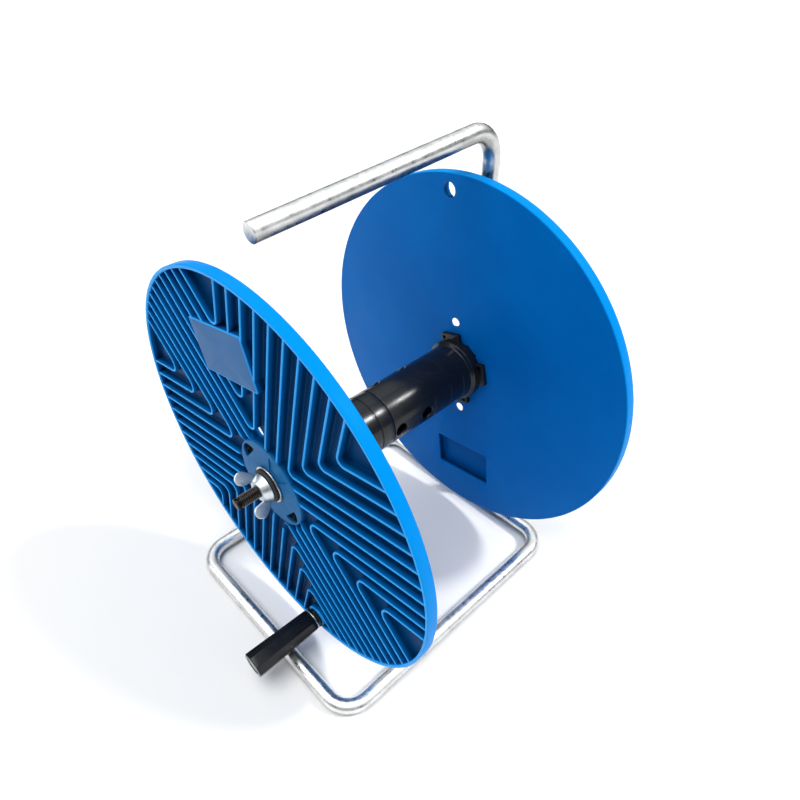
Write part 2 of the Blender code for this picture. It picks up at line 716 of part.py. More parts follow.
def frame_bars():
    """The closed floor loop, and the upright that bends over the drum as the carrying handle."""
    front = station_y(LOOP_FRONT_STATION)
    back = station_y(UPRIGHT_STATION)
    corners = [
        Vector((LOOP_OFFSET - LOOP_HALF_WIDTH, front, BAR_FLAT)),
        Vector((LOOP_OFFSET + LOOP_HALF_WIDTH, front, BAR_FLAT)),
        Vector((LOOP_OFFSET + LOOP_HALF_WIDTH, back, BAR_FLAT)),
        Vector((LOOP_OFFSET - LOOP_HALF_WIDTH, back, BAR_FLAT)),
    ]
    loop = bar("base_loop", rounded_path(corners, LOOP_CORNER, True), BAR_RADIUS, True)
    top = AXLE_HEIGHT + HANDLE_RISE
    run = UPRIGHT_STATION - HANDLE_END_STATION
    end = Vector((0.0, back - run, top - run * math.tan(math.radians(HANDLE_DROOP))))
    corners = [Vector((0.0, back, BAR_FLAT)), Vector((0.0, back, top)), end]
    path = rounded_path(corners, HANDLE_BEND)
    weld_top = BAR_FLAT + BAR_RADIUS + WELD_HEIGHT
    path.insert(1, Vector((0.0, back, weld_top)))
    path.insert(1, Vector((0.0, back, weld_top - 0.5 * WELD_HEIGHT)))
    back_off = (path[-2] - path[-1]).normalized()
    path.insert(len(path) - 1, path[-1] + back_off * HANDLE_CHAMFER)
    widths = [1.0] * len(path)
    widths[0] = WELD_FLARE
    widths[1] = WELD_FLARE - WELD_TAPER
    widths[-1] = 1.0 - HANDLE_CHAMFER / HANDLE_BAR_RADIUS
    upright = bar("handle_bar", path, HANDLE_BAR_RADIUS, False, widths)
    across = Matrix.Translation((0.0, back, BAR_FLAT)) @ Matrix.Rotation(math.radians(90.0), 4, "Y")
    seat = primitive("bar_seat", None, across, None, bmesh.ops.create_cone, cap_ends=True,
                     segments=BAR_SIDES * 2, radius1=BAR_RADIUS + TOUCH_GAP,
                     radius2=BAR_RADIUS + TOUCH_GAP, depth=SEAT_REACH)
    below = block("below_seat", (SEAT_REACH, SEAT_REACH, BAR_RADIUS), None,
                  Matrix.Translation((0.0, back, BAR_FLAT - (SEAT_DEPTH + 0.5) * BAR_RADIUS)))
    along = Matrix.Translation((0.0, back, AXLE_HEIGHT)) @ Matrix.Rotation(math.radians(90.0), 4, "X")
    drill = primitive("axle_drill", None, along, None, bmesh.ops.create_cone, cap_ends=True,
                      segments=SMALL_STEPS, radius1=BORE_RADIUS, radius2=BORE_RADIUS, depth=SEAT_REACH)
    for tool in (seat, below, drill):
        combine(upright, "DIFFERENCE", as_tool(tool))
    return loop, upright


def crank_grip(parent):
    """The eight-sided turning handle, bored for its bolt and recessed for the bolt's head."""
    middle = Vector((0.0, 0.0, 0.5 * (GRIP_TIP_STATION + GRIP_BASE_STATION)))
    spot = Matrix.Translation(middle) @ Matrix.Rotation(math.radians(GRIP_TURN), 4, "Z")
    grip = primitive("crank_grip", parent, spot, (BLACK_PLASTIC, 0.2, 0.0), bmesh.ops.create_cone,
                     cap_ends=True, segments=GRIP_SIDES, radius1=GRIP_TIP_RADIUS,
                     radius2=GRIP_BASE_RADIUS, depth=GRIP_LENGTH)
    edges = grip.modifiers.new("edges", "BEVEL")
    edges.width = GRIP_END_CHAMFER
    edges.segments = 2
    edges.limit_method = "ANGLE"
    edges.angle_limit = math.radians(30.0)
    head_room = GRIP_TIP_STATION + CAP_THICKNESS + 3.0 * TOUCH_GAP + BOLT_HEAD_THICKNESS
    bore = rod("grip_bore", BOLT_RADIUS + RUN_GAP, GRIP_TIP_STATION - CAP_RADIUS,
               GRIP_BASE_STATION + CAP_RADIUS, SMALL_STEPS, parent)
    well = rod("grip_well", CAP_RADIUS, GRIP_TIP_STATION - CAP_RADIUS, head_room, SMALL_STEPS, parent)
    for tool in (bore, well):
        combine(grip, "DIFFERENCE", as_tool(tool))
    cap = rod("grip_cap", CAP_RADIUS - TOUCH_GAP, GRIP_TIP_STATION + CAP_SINK,
              GRIP_TIP_STATION + CAP_THICKNESS, SMALL_STEPS, parent, None, (BLACK_PLASTIC, 0.25, 0.0))
    return grip, cap


def crank_bolt(parent):
    """The bolt that carries the grip, with its head inside the grip and its end inside the drum."""
    head_low = GRIP_TIP_STATION + CAP_THICKNESS + TOUCH_GAP
    head_high = head_low + BOLT_HEAD_THICKNESS
    inner_nut_low = FLANGE_DEPTH + TOUCH_GAP
    tail = inner_nut_low + BOLT_NUT_THICKNESS + BOLT_TAIL
    corner = 0.5 * BOLT_HEAD_FLATS / math.cos(math.radians(30.0))
    bolt = primitive("crank_bolt", parent, Matrix.Translation((0.0, 0.0, 0.5 * (head_low + head_high))),
                     (BRIGHT_STEEL, 0.35, 1.0), bmesh.ops.create_cone, cap_ends=True, segments=6,
                     radius1=corner, radius2=corner, depth=head_high - head_low)
    shank = rod("shank", BOLT_RADIUS, head_high - OVERLAP, tail, SMALL_STEPS, parent)
    combine(bolt, "UNION", as_tool(shank))
    bore = BOLT_RADIUS + TOUCH_GAP
    ring("crank_washer", bore, CRANK_WASHER_RADIUS, CRANK_WASHER_STATION,
         CRANK_WASHER_STATION + CRANK_WASHER_THICKNESS, SMALL_STEPS, parent, (BRIGHT_STEEL, 0.3, 1.0))
    hex_nut("crank_lock_nut", parent, CRANK_COLLAR_FLATS, bore, CRANK_COLLAR_STATION, -TOUCH_GAP, None,
            (BLACK_STEEL, 0.4, 1.0))
    hex_nut("crank_inner_nut", parent, CRANK_NUT_FLATS, bore, inner_nut_low,
            inner_nut_low + BOLT_NUT_THICKNESS)
    return bolt


def build():
    """Place every piece along the axle and round the frame."""
    turn = Matrix.Rotation(math.radians(-90.0), 4, "X")
    line = empty("axle_line", None, Matrix.Translation((0.0, -MIDDLE_STATION, AXLE_HEIGHT)) @ turn)
    drum = empty("drum_line", line)
    nut_line = empty("wing_nut_line", line)
    flange_mesh_object("crank_flange", drum,
                       Matrix.Rotation(math.radians(-CRANK_FLANGE_LABEL_HEADING), 4, "Z"))
    flip = Matrix.Rotation(math.pi, 4, "Y") @ Matrix.Rotation(math.radians(-REAR_TURN), 4, "Z")
    flange_mesh_object("rear_flange", drum, Matrix.Translation((0.0, 0.0, REAR_RIM_STATION)) @ flip)
    core_front(drum)
    core_rear(drum)
    bush("front_bush", drum, PAD_SINK, INNER_FACE_STATION)
    bush("rear_bush", drum, REAR_RIM_STATION - PAD_SINK, REAR_INNER_STATION)
    crank_line = empty("crank_line", drum,
                       Matrix.Translation(polar(CRANK_HOLE_OUT, CRANK_FLANGE_LABEL_HEADING + 180.0)))
    crank_bolt(crank_line)
    crank_grip(crank_line)
    axle_rod(line)
    fender_high = PAD_SINK - TOUCH_GAP
    fender_low = fender_high - FENDER_THICKNESS
    brake_high = fender_low - TOUCH_GAP
    brake_low = brake_high - BRAKE_THICKNESS
    ring("fender_washer", BORE_RADIUS, FENDER_RADIUS, fender_low, fender_high, SMALL_STEPS, nut_line,
         (BRIGHT_STEEL, 0.35, 1.0))
    ring("brake_washer", BORE_RADIUS, BRAKE_RADIUS, brake_low, brake_high, SMALL_STEPS, nut_line,
         (BLACK_PLASTIC, 0.6, 0.0))
    wing_nut(nut_line, brake_low - TOUCH_GAP)
    spacer_low = REAR_RIM_STATION - PAD_SINK + TOUCH_GAP
    spacer_high = UPRIGHT_STATION - HANDLE_BAR_RADIUS - TOUCH_GAP
    ring("rear_spacer", BORE_RADIUS, SPACER_RADIUS, spacer_low, spacer_high, SMALL_STEPS, line,
         (BLACK_PLASTIC, 0.5, 0.0))
    ring("rear_washer", BORE_RADIUS, REAR_WASHER_RADIUS, REAR_WASHER_STATION,
         REAR_WASHER_STATION + REAR_WASHER_THICKNESS, SMALL_STEPS, line, (BRIGHT_STEEL, 0.35, 1.0))
    hex_nut("axle_nut", line, NUT_FLATS, BORE_RADIUS, REAR_NUT_STATION, REAR_NUT_STATION + NUT_THICKNESS)
    frame_bars()


build()
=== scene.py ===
# %% [markdown]
# # A hand crank wire winder, dressed in its finishes
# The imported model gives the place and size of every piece. Here each visible piece gets the
# roundings, ribs, threads and finishes that the real winder has: moulded blue flanges, a black
# plastic core, zinc plated bars and hardware. The axle lies along Y and the crank side faces -Y.

import json
import math

import bmesh
import bpy
import numpy as np
from mathutils import Matrix, Vector

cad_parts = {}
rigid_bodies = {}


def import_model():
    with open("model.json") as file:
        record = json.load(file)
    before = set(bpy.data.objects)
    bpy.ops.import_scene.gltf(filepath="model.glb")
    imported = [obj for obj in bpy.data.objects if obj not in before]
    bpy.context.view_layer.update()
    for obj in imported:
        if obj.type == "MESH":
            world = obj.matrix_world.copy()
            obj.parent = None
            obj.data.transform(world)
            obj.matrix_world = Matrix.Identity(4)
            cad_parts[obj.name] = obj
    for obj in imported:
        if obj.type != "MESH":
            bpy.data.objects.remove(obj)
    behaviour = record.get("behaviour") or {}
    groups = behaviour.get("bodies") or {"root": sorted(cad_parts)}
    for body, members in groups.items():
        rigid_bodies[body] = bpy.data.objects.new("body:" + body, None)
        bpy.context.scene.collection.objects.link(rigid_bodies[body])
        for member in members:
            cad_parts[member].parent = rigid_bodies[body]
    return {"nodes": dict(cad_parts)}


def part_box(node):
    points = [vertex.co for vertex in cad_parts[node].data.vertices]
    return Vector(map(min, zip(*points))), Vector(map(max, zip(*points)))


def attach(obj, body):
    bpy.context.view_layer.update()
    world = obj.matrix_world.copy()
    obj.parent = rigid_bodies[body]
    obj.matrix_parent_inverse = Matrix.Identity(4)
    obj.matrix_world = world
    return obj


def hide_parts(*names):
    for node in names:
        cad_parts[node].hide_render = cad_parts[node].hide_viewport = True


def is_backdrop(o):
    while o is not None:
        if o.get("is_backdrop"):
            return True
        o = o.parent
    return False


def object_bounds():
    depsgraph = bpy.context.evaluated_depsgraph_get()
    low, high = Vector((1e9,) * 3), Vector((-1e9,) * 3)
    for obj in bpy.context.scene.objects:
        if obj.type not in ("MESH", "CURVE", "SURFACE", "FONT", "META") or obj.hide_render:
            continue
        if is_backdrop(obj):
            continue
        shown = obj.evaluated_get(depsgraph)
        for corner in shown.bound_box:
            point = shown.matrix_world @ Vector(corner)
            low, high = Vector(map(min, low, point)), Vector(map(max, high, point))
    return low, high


for leftover in list(bpy.data.objects):
    bpy.data.objects.remove(leftover)
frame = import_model()
cad_low, cad_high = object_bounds()
print("frame box", [round(v, 4) for v in (*cad_low, *cad_high)])

# %% [markdown]
# Two places carry everything else: the axle's line, and the plane of the crank flange's rim. A
# station is a distance along the axle from that plane, and a heading is an angle about the axle,
# counterclockwise as seen from the crank side. Every size below is in metres.

# %% Driving places taken from the frame
crank_low, crank_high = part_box("crank_flange")
AXLE_Z = 0.5 * (crank_low[2] + crank_high[2])
RIM_Y = crank_low[1]
REAR_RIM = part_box("rear_flange")[1][1] - RIM_Y
FLANGE_RADIUS = 0.165
DEPTH = 0.009
INNER_FACE = DEPTH
REAR_INNER_FACE = REAR_RIM - DEPTH
LABEL_HEADING = math.radians(101.5)
REAR_LABEL_HEADING = math.radians(277.5)
MOULDING_FACE = 0.0068
print("axle height", round(AXLE_Z, 4), "rear rim station", round(REAR_RIM, 4))


def full_turn(steps):
    """Equal steps once round, in radians, the last one short of the start."""
    return np.linspace(0.0, 2.0 * np.pi, steps, endpoint=False)


def station(node):
    """Lowest and highest station of a node of the frame."""
    low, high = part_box(node)
    return low[1] - RIM_Y, high[1] - RIM_Y


def round_axle(out, heading, along):
    """Places from a distance to the axle, a heading and a station: x = r cos h, z = axle + r sin h."""
    out, heading, along = np.broadcast_arrays(out, heading, along)
    return np.stack([out * np.cos(heading), along + RIM_Y, AXLE_Z + out * np.sin(heading)], -1)


# %% [markdown]
# A surface is a grid of points. The grid's rows and columns may wrap round to close a tube or a
# ring. Rows that shrink to one point close a pole, because equal points are merged afterwards. The
# merged mesh is a closed shell, so its normals can be turned outward without guessing.

# %% Grids, and the mesh that they make
def grid(points, wrap_rows=False, wrap_columns=True, drawn=None):
    """A (rows, columns, 3) array as vertices, faces between neighbours, and a vector for each point."""
    rows, columns = points.shape[:2]
    row = np.arange(rows if wrap_rows else rows - 1)
    column = np.arange(columns if wrap_columns else columns - 1)
    row, column = np.meshgrid(row, column, indexing="ij")
    below, beside = (row + 1) % rows, (column + 1) % columns
    faces = np.stack([row * columns + column, row * columns + beside,
                      below * columns + beside, below * columns + column], -1).reshape(-1, 4)
    return points.reshape(-1, 3), faces, drawn


def capped(rings):
    """Rings with both ends drawn together to their middles, which closes the solid."""
    ends = [np.broadcast_to(ring.mean(0), ring.shape)[None] for ring in (rings[0], rings[-1])]
    return np.concatenate([ends[0], rings, ends[1]])


def mesh_of(name, parts, merge=1e-6):
    """One mesh from several grids, with its doubles merged and its faces turned outward."""
    counts = np.cumsum([0] + [len(part[0]) for part in parts])
    vertices = np.concatenate([part[0] for part in parts])
    faces = np.concatenate([part[1] + start for part, start in zip(parts, counts)])
    mesh = bpy.data.meshes.new(name)
    mesh.from_pydata(vertices, [], faces)
    if parts[0][2] is not None:
        layer = mesh.attributes.new("drawn", "FLOAT_VECTOR", "POINT")
        layer.data.foreach_set("vector", parts[0][2].astype(np.float32).ravel())
    shape = bmesh.new()
    shape.from_mesh(mesh)
    bmesh.ops.remove_doubles(shape, verts=shape.verts, dist=merge)
    bmesh.ops.dissolve_degenerate(shape, edges=shape.edges, dist=1e-7)
    bmesh.ops.recalc_face_normals(shape, faces=shape.faces)
    shape.to_mesh(mesh)
    shape.free()
    return mesh


def linked(name, data):
    """A new object in the scene."""
    thing = bpy.data.objects.new(name, data)
    bpy.context.scene.collection.objects.link(thing)
    return thing


def add_piece(name, mesh, finish, body, nodes=(), sharp=30.0):
    """Link a finished mesh, smooth it up to a crease angle, and hang it on its body."""
    piece = linked(name, mesh)
    mesh.shade_smooth()
    mesh.set_sharp_from_angle(angle=math.radians(sharp))
    mesh.materials.append(finish)
    if nodes:
        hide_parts(*nodes)
    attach(piece, body)
    print(name, len(mesh.polygons), "faces")
    return piece


def add_parts(name, parts, finish, body, nodes=(), sharp=30.0, merge=1e-6):
    """A finished piece straight from its grids."""
    return add_piece(name, mesh_of(name, parts, merge), finish, body, nodes, sharp)


def lathe(profile, steps, wrap=True):
    """A profile of (out, station) pairs turned about the axle; a wrapped profile is a ring."""
    profile = np.array(profile, float)
    heading = full_turn(steps)
    return grid(round_axle(profile[:, None, 0], heading[None], profile[:, None, 1]), wrap)


# %% [markdown]
# Moulded and turned edges are never sharp. A profile is written as its corners, each with its own
# rounding, and the rounded profile replaces every corner with a short arc: the arc touches both
# neighbouring sides, at a distance from the corner of radius / tan(half the corner's angle).

# %% Rounded corners
def rounded(corners, radii, steps=4, closed=True):
    """Replace corners by arcs, in 2-D or 3-D, by turning one touching point into the other."""
    corners = np.array(corners, float)
    radii = np.broadcast_to(radii, len(corners))
    points = []
    for index, (corner, radius) in enumerate(zip(corners, radii)):
        if radius == 0.0 or (not closed and index in (0, len(corners) - 1)):
            points.append(corner[None])
            continue
        before = corners[index - 1] - corner
        after = corners[(index + 1) % len(corners)] - corner
        before = before / np.linalg.norm(before)
        after = after / np.linalg.norm(after)
        half = 0.5 * math.acos(np.clip(before @ after, -1.0, 1.0))
        if half > 0.5 * np.pi - 0.01:
            points.append(corner[None])
            continue
        middle = before + after
        centre = corner + middle / np.linalg.norm(middle) * radius / math.sin(half)
        first = corner + before * radius / math.tan(half) - centre
        last = corner + after * radius / math.tan(half) - centre
        turn = math.pi - 2.0 * half
        part = np.linspace(0.0, 1.0, steps + 1)[:, None]
        arc = (np.sin((1.0 - part) * turn) * first + np.sin(part * turn) * last) / math.sin(turn)
        points.append(centre + arc)
    return np.concatenate(points)


# %% [markdown]
# ## Finishes
# Each finish is a Principled shader whose colour, roughness and bump vary with noise in the
# piece's own coordinates, at the scale of the real surface: fine mould grain on plastic, mottling
# and pits in the zinc, drawing lines along the bars. A few small helpers keep the recipes short.

# %% Node helpers
def new_finish(name, roughness, metallic=0.0):
    """A material with its tree and its shader, with the plain values set on the shader itself."""
    material = bpy.data.materials.new(name)
    material.use_nodes = True
    shader = material.node_tree.nodes["Principled BSDF"]
    shader.inputs["Roughness"].default_value = roughness
    shader.inputs["Metallic"].default_value = metallic
    return material, material.node_tree, shader


def coordinates(tree, attribute=None, scale=(1.0, 1.0, 1.0)):
    """The piece's own coordinates, or a vector stored on its points, stretched by a scale."""
    if attribute:
        source = tree.nodes.new("ShaderNodeAttribute")
        source.attribute_name = attribute
    else:
        source = tree.nodes.new("ShaderNodeTexCoord")
    stretch = tree.nodes.new("ShaderNodeMapping")
    stretch.inputs["Scale"].default_value = scale
    tree.links.new(source.outputs["Vector" if attribute else "Object"], stretch.inputs["Vector"])
    return stretch.outputs["Vector"]


def noise(tree, place, scale, detail=3.0, roughness=0.55):
    """Cloudy noise between about 0.3 and 0.7."""
    cloud = tree.nodes.new("ShaderNodeTexNoise")
    cloud.inputs["Scale"].default_value = scale
    cloud.inputs["Detail"].default_value = detail
    cloud.inputs["Roughness"].default_value = roughness
    tree.links.new(place, cloud.inputs["Vector"])
    return cloud.outputs["Fac"]


def spread(tree, value, low, high, new_low=0.0, new_high=1.0):
    """Map a stretch of values on to another, from 0 to 1 if not said, and hold it at both ends."""
    remap = tree.nodes.new("ShaderNodeMapRange")
    for name, number in (("From Min", low), ("From Max", high), ("To Min", new_low), ("To Max", new_high)):
        remap.inputs[name].default_value = number
    tree.links.new(value, remap.inputs["Value"])
    return remap.outputs["Result"]


def mixed(tree, factor, first, second):
    """A colour between two colours or colour sockets."""
    mix = tree.nodes.new("ShaderNodeMix")
    mix.data_type = "RGBA"
    tree.links.new(factor, mix.inputs[0])
    for socket, colour in ((mix.inputs[6], first), (mix.inputs[7], second)):
        if isinstance(colour, tuple):
            socket.default_value = (*colour, 1.0)
        else:
            tree.links.new(colour, socket)
    return mix.outputs[2]


def combined(tree, operation, first, second):
    """Arithmetic on two values, either of which may be a plain number."""
    step = tree.nodes.new("ShaderNodeMath")
    step.operation = operation
    for socket, value in ((step.inputs[0], first), (step.inputs[1], second)):
        if isinstance(value, float):
            socket.default_value = value
        else:
            tree.links.new(value, socket)
    return step.outputs[0]


def product(tree, first, second):
    """Two values multiplied."""
    return combined(tree, "MULTIPLY", first, second)


def total(tree, first, second):
    """Two values added."""
    return combined(tree, "ADD", first, second)


def relief(tree, shader, height, distance, strength=1.0):
    """Bump of the given real height."""
    bump = tree.nodes.new("ShaderNodeBump")
    bump.inputs["Strength"].default_value = strength
    bump.inputs["Distance"].default_value = distance
    tree.links.new(height, bump.inputs["Height"])
    tree.links.new(bump.outputs["Normal"], shader.inputs["Normal"])


def from_axle(tree):
    """A place's distance to the axle, which is sqrt(x^2 + (z - axle)^2), and its separate coordinates."""
    source = tree.nodes.new("ShaderNodeTexCoord")
    split = tree.nodes.new("ShaderNodeSeparateXYZ")
    tree.links.new(source.outputs["Object"], split.inputs[0])
    upward = combined(tree, "SUBTRACT", split.outputs["Z"], AXLE_Z)
    squares = total(tree, combined(tree, "POWER", split.outputs["X"], 2.0),
                    combined(tree, "POWER", upward, 2.0))
    return combined(tree, "SQRT", squares, 0.0), split.outputs


def spots(tree, place, scale, size):
    """Small round spots where a cell's centre is near: 1 in the spot and 0 outside it."""
    cells = tree.nodes.new("ShaderNodeTexVoronoi")
    cells.inputs["Scale"].default_value = scale
    tree.links.new(place, cells.inputs["Vector"])
    return spread(tree, cells.outputs["Distance"], 0.5 * size, size, 1.0, 0.0)


# %% [markdown]
# The blue plastic is solid-coloured, so scratches show paler and not another colour. Broad clouds
# vary the blue a little, and a fine grain breaks up the gloss. In a flange, light and shade are
# painted into the colour: a painted highlight on the crests of the ribs and on the rim's outside,
# and painted shade low in the channels between the ribs. The hub pad's face is a darker blue.

# %% Plastic finishes
def moulding_masks(tree):
    """Four masks in a flange, from the distances to the middle plane and to the axle.

    They are a painted highlight on the crests of its ribs, painted shade low in its channels, the hub pad's
    face, and painted light on its rim's outside.
    """
    out, place = from_axle(tree)
    half = 0.5 * REAR_RIM
    away = combined(tree, "ABSOLUTE", combined(tree, "SUBTRACT", place["Y"], RIM_Y + half), 0.0)
    # Painted highlight: the crests of the ribs and the rim's top, down to 1.3 mm, are marked for a paler
    # blue.
    painted_top_highlight = spread(tree, away, half - 0.0013, half - 0.0008)
    # Painted shade: the lower walls and floors of the channels, deeper than 4.5 mm, are marked for a darker
    # blue.
    painted_channel_shade = product(tree, spread(tree, away, half - 0.0078, half - 0.0070),
                     spread(tree, away, half - 0.0008, half - 0.0045))
    painted_channel_shade = product(tree, painted_channel_shade, spread(tree, out, 0.1634, 0.1628))
    pad = product(tree, spread(tree, away, half - 0.0032, half - 0.0026), spread(tree, out, 0.0376, 0.0368))
    # The last mask, the rim's outside beyond 164.3 mm, carries painted light.
    return painted_top_highlight, painted_channel_shade, pad, spread(tree, out, 0.1643, 0.1648)


def plastic(name, deep, pale, roughness, grain, scuff, gloss=0.5, tint=(1.0, 1.0, 1.0), ribbed=False):
    """Solid-coloured plastic with broad clouds, pale scuffs and fine mould grain; a ribbed flange also gets
    painted highlight and painted shade.
    """
    material, tree, shader = new_finish(name, roughness)
    shader.inputs["Specular IOR Level"].default_value = gloss
    shader.inputs["Specular Tint"].default_value = (*tint, 1.0)
    place = coordinates(tree)
    clouds = spread(tree, noise(tree, place, 14.0, 4.0), 0.32, 0.68)
    body = mixed(tree, clouds, deep, pale)
    if ribbed:
        painted_top_highlight, painted_channel_shade, pad, rim = moulding_masks(tree)
        # Painted highlight: the rib crests and the rim's top are painted a much paler blue.
        body = mixed(tree, product(tree, painted_top_highlight, 0.9), body, (0.03, 0.36, 0.88))
        # Painted shade: the deep channels are painted darker, as if in shadow.
        body = mixed(tree, product(tree, painted_channel_shade, 0.9), body, tuple(0.20 * c for c in deep))
        body = mixed(tree, pad, body, (0.010, 0.120, 0.31))
        # Painted light: the rim's outside is painted a brighter blue, as if lit.
        body = mixed(tree, rim, body, (0.0, 0.24, 0.70))
    streaks = noise(tree, coordinates(tree, scale=(240.0, 30.0, 60.0)), 1.0, 5.0, 0.65)
    marks = spread(tree, streaks, 0.66, 0.78, 0.0, scuff)
    scuffed = tuple(min(1.0, 0.55 * c + 0.10) for c in pale)
    tree.links.new(mixed(tree, marks, body, scuffed), shader.inputs["Base Color"])
    fine = noise(tree, place, 900.0, 2.0)
    haze = noise(tree, place, 45.0, 5.0, 0.6)
    rough = spread(tree, haze, 0.3, 0.7, roughness - 0.07, roughness + 0.1)
    rough = total(tree, rough, product(tree, marks, 0.5))
    tree.links.new(rough, shader.inputs["Roughness"])
    relief(tree, shader, fine, grain, 0.35)
    return material


blue_plastic = plastic("moulded_blue_plastic", (0.0, 0.128, 0.45), (0.0, 0.150, 0.50), 0.40, 0.00012, 0.12,
                       0.06, (0.12, 0.55, 1.0), True)
plate_plastic = plastic("bare_label_plate", (0.036, 0.126, 0.30), (0.044, 0.140, 0.33), 0.5, 0.0001, 0.10,
                        0.06)
core_plastic = plastic("black_core_plastic", (0.0045, 0.0055, 0.008), (0.0075, 0.009, 0.012), 0.19, 0.00003,
                       0.06, 0.34)
hook_plastic = plastic("dull_hook_plastic", (0.002, 0.002, 0.003), (0.004, 0.004, 0.005), 0.6, 0.0001,
                       0.05, 0.02)
grip_plastic = plastic("glossy_grip_plastic", (0.003, 0.0035, 0.005), (0.005, 0.006, 0.008), 0.16, 0.00005,
                       0.08, 0.30)
bush_plastic = plastic("dull_bearing_plastic", (0.012, 0.012, 0.012), (0.02, 0.02, 0.02), 0.5, 0.0001, 0.1)
rubber = plastic("friction_rubber", (0.010, 0.010, 0.011), (0.018, 0.018, 0.018), 0.62, 0.0002, 0.15)


# %% [markdown]
# Zinc plating on drawn bar is bright but not even: it is mottled grey and slightly warm, with tiny
# pits and drawing lines along its length. Those lines follow the bar, so they read a vector stored
# on the bar's points: its distance along the bar in metres, and its place round the section. The
# side of a bar that faces down is painted darker, as painted shade.

# %% Metal finishes
FRONT_RADIUS = 0.0049


def metal(name, dark, light, roughness, mottling, pits, lines=None, depth=0.00006, crests=False):
    """Plated or cast metal: mottled colour and pits; a bar's drawing lines and painted shade on its
    underside, or a thread's worn crests.
    """
    material, tree, shader = new_finish(name, roughness, 1.0)
    place = coordinates(tree)
    cloud = spread(tree, noise(tree, place, mottling, 6.0, 0.65), 0.34, 0.66)
    body = mixed(tree, cloud, dark, light)
    if crests:
        worn = spread(tree, from_axle(tree)[0], FRONT_RADIUS - 0.00028, FRONT_RADIUS - 0.00004, 0.0, 0.85)
        body = mixed(tree, worn, body, (0.19, 0.165, 0.14))
    pitted = spots(tree, place, pits, 0.16)
    sparse = spread(tree, noise(tree, place, 0.12 * pits, 2.0), 0.52, 0.62)
    pitted = product(tree, pitted, sparse)
    stained = tuple(0.35 * c for c in dark)
    if lines:
        # Painted shade: the colour darkens where the bar's surface faces down.
        facing = tree.nodes.new("ShaderNodeNewGeometry")
        split = tree.nodes.new("ShaderNodeSeparateXYZ")
        tree.links.new(facing.outputs["Normal"], split.inputs[0])
        painted_underside_shade = total(tree, split.outputs["Z"], product(tree, cloud, 0.25))
        painted_underside_shade = spread(tree, painted_underside_shade, 0.42, -0.18, 0.0, 0.8)
        body = mixed(tree, painted_underside_shade, body, tuple(0.30 * c for c in dark))
    tree.links.new(mixed(tree, pitted, body, stained), shader.inputs["Base Color"])
    haze = spread(tree, noise(tree, place, 4.0 * mottling, 4.0), 0.3, 0.7, roughness - 0.07, roughness + 0.09)
    tree.links.new(total(tree, haze, product(tree, pitted, 0.3)), shader.inputs["Roughness"])
    height = product(tree, pitted, -1.0)
    height = total(tree, height, product(tree, noise(tree, place, 1400.0, 2.0), 0.25))
    if lines:
        drawn = noise(tree, coordinates(tree, "drawn", lines), 1.0, 3.0, 0.6)
        height = total(tree, height, product(tree, drawn, 0.5))
    relief(tree, shader, height, depth, 0.6)
    return material


bar_zinc = metal("zinc_plated_bar", (0.68, 0.68, 0.665), (0.86, 0.865, 0.86), 0.31, 60.0, 420.0,
                 (9.0, 7.0, 7.0))
hardware_zinc = metal("zinc_plated_hardware", (0.46, 0.45, 0.42), (0.62, 0.61, 0.57), 0.26, 160.0, 900.0)
wing_zinc = metal("cast_zinc_wing", (0.50, 0.56, 0.60), (0.66, 0.71, 0.74), 0.33, 260.0, 1100.0)
thread_steel = metal("blackened_thread", (0.020, 0.020, 0.020), (0.060, 0.056, 0.052), 0.36, 300.0, 1500.0)
rod_steel = metal("blackened_rod", (0.010, 0.010, 0.010), (0.034, 0.031, 0.028), 0.34, 300.0, 1500.0,
                  crests=True)
weld_steel = metal("weld_bead_steel", (0.14, 0.135, 0.13), (0.32, 0.31, 0.30), 0.42, 300.0, 1200.0)
print("finishes", len(bpy.data.materials))

# %% [markdown]
# ## The moulded flanges
# Both flanges are one moulding. Its ribs run in six families, 60 degrees apart, and where two
# families meet, the ribs join in nested chevrons that point at the hub. Each chevron is a path: a
# straight arm, a rounded tip and another straight arm. The rib's cross-section is carried along it.

# %% Rib paths
RIB_PITCH = 0.013
RIB_HEADING = math.radians(-89.5)
RIB_SPAN = FLANGE_RADIUS - 0.0014
RIB_LIMIT = FLANGE_RADIUS - 0.019
PAD_RADIUS = 0.0368
PLATE_SIZE = (0.039, 0.067)
PLATE_OUT = 0.108
CRANK_OUT = FLANGE_RADIUS - 0.0124
SIGHT_OUT = 0.044
PAD_STEPS = (-0.0015, 0.0005, 0.0018, 0.0031, 0.0044, 0.0056)
CHEVRONS = ((2.0, 1.5, 0.0045), (1.5, 2.0, 0.006), (1.0, 2.0, 0.0095),
            (2.0, 2.5, 0.006), (1.5, 1.0, 0.006), (2.0, 1.0, 0.0095))


def family(index):
    """Direction of a family's ribs and their left-hand side."""
    angle = RIB_HEADING + index * math.pi / 3.0
    return np.array([math.cos(angle), math.sin(angle)]), np.array([-math.sin(angle), math.cos(angle)])


def rib_end(along, side, offset, out):
    """Where a rib at this offset from its family's middle reaches a distance from the hub."""
    return along * math.sqrt(out * out - offset * offset) + side * offset


def chevron_path(index, first, second, tip):
    """Two arms and their rounded tip, or nothing where the tip would pass the rim."""
    along_a, side_a = family(index)
    along_b, side_b = family(index + 1)
    reach = (first * side_a @ side_b + second) / -(along_a @ side_b)
    corner = side_a * first + along_a * reach
    if np.linalg.norm(corner) + tip > RIB_LIMIT:
        return None
    ends = (rib_end(along_a, side_a, first, RIB_SPAN), rib_end(along_b, side_b, -second, RIB_SPAN))
    return rounded([ends[0], corner, ends[1]], tip, 10, closed=False)


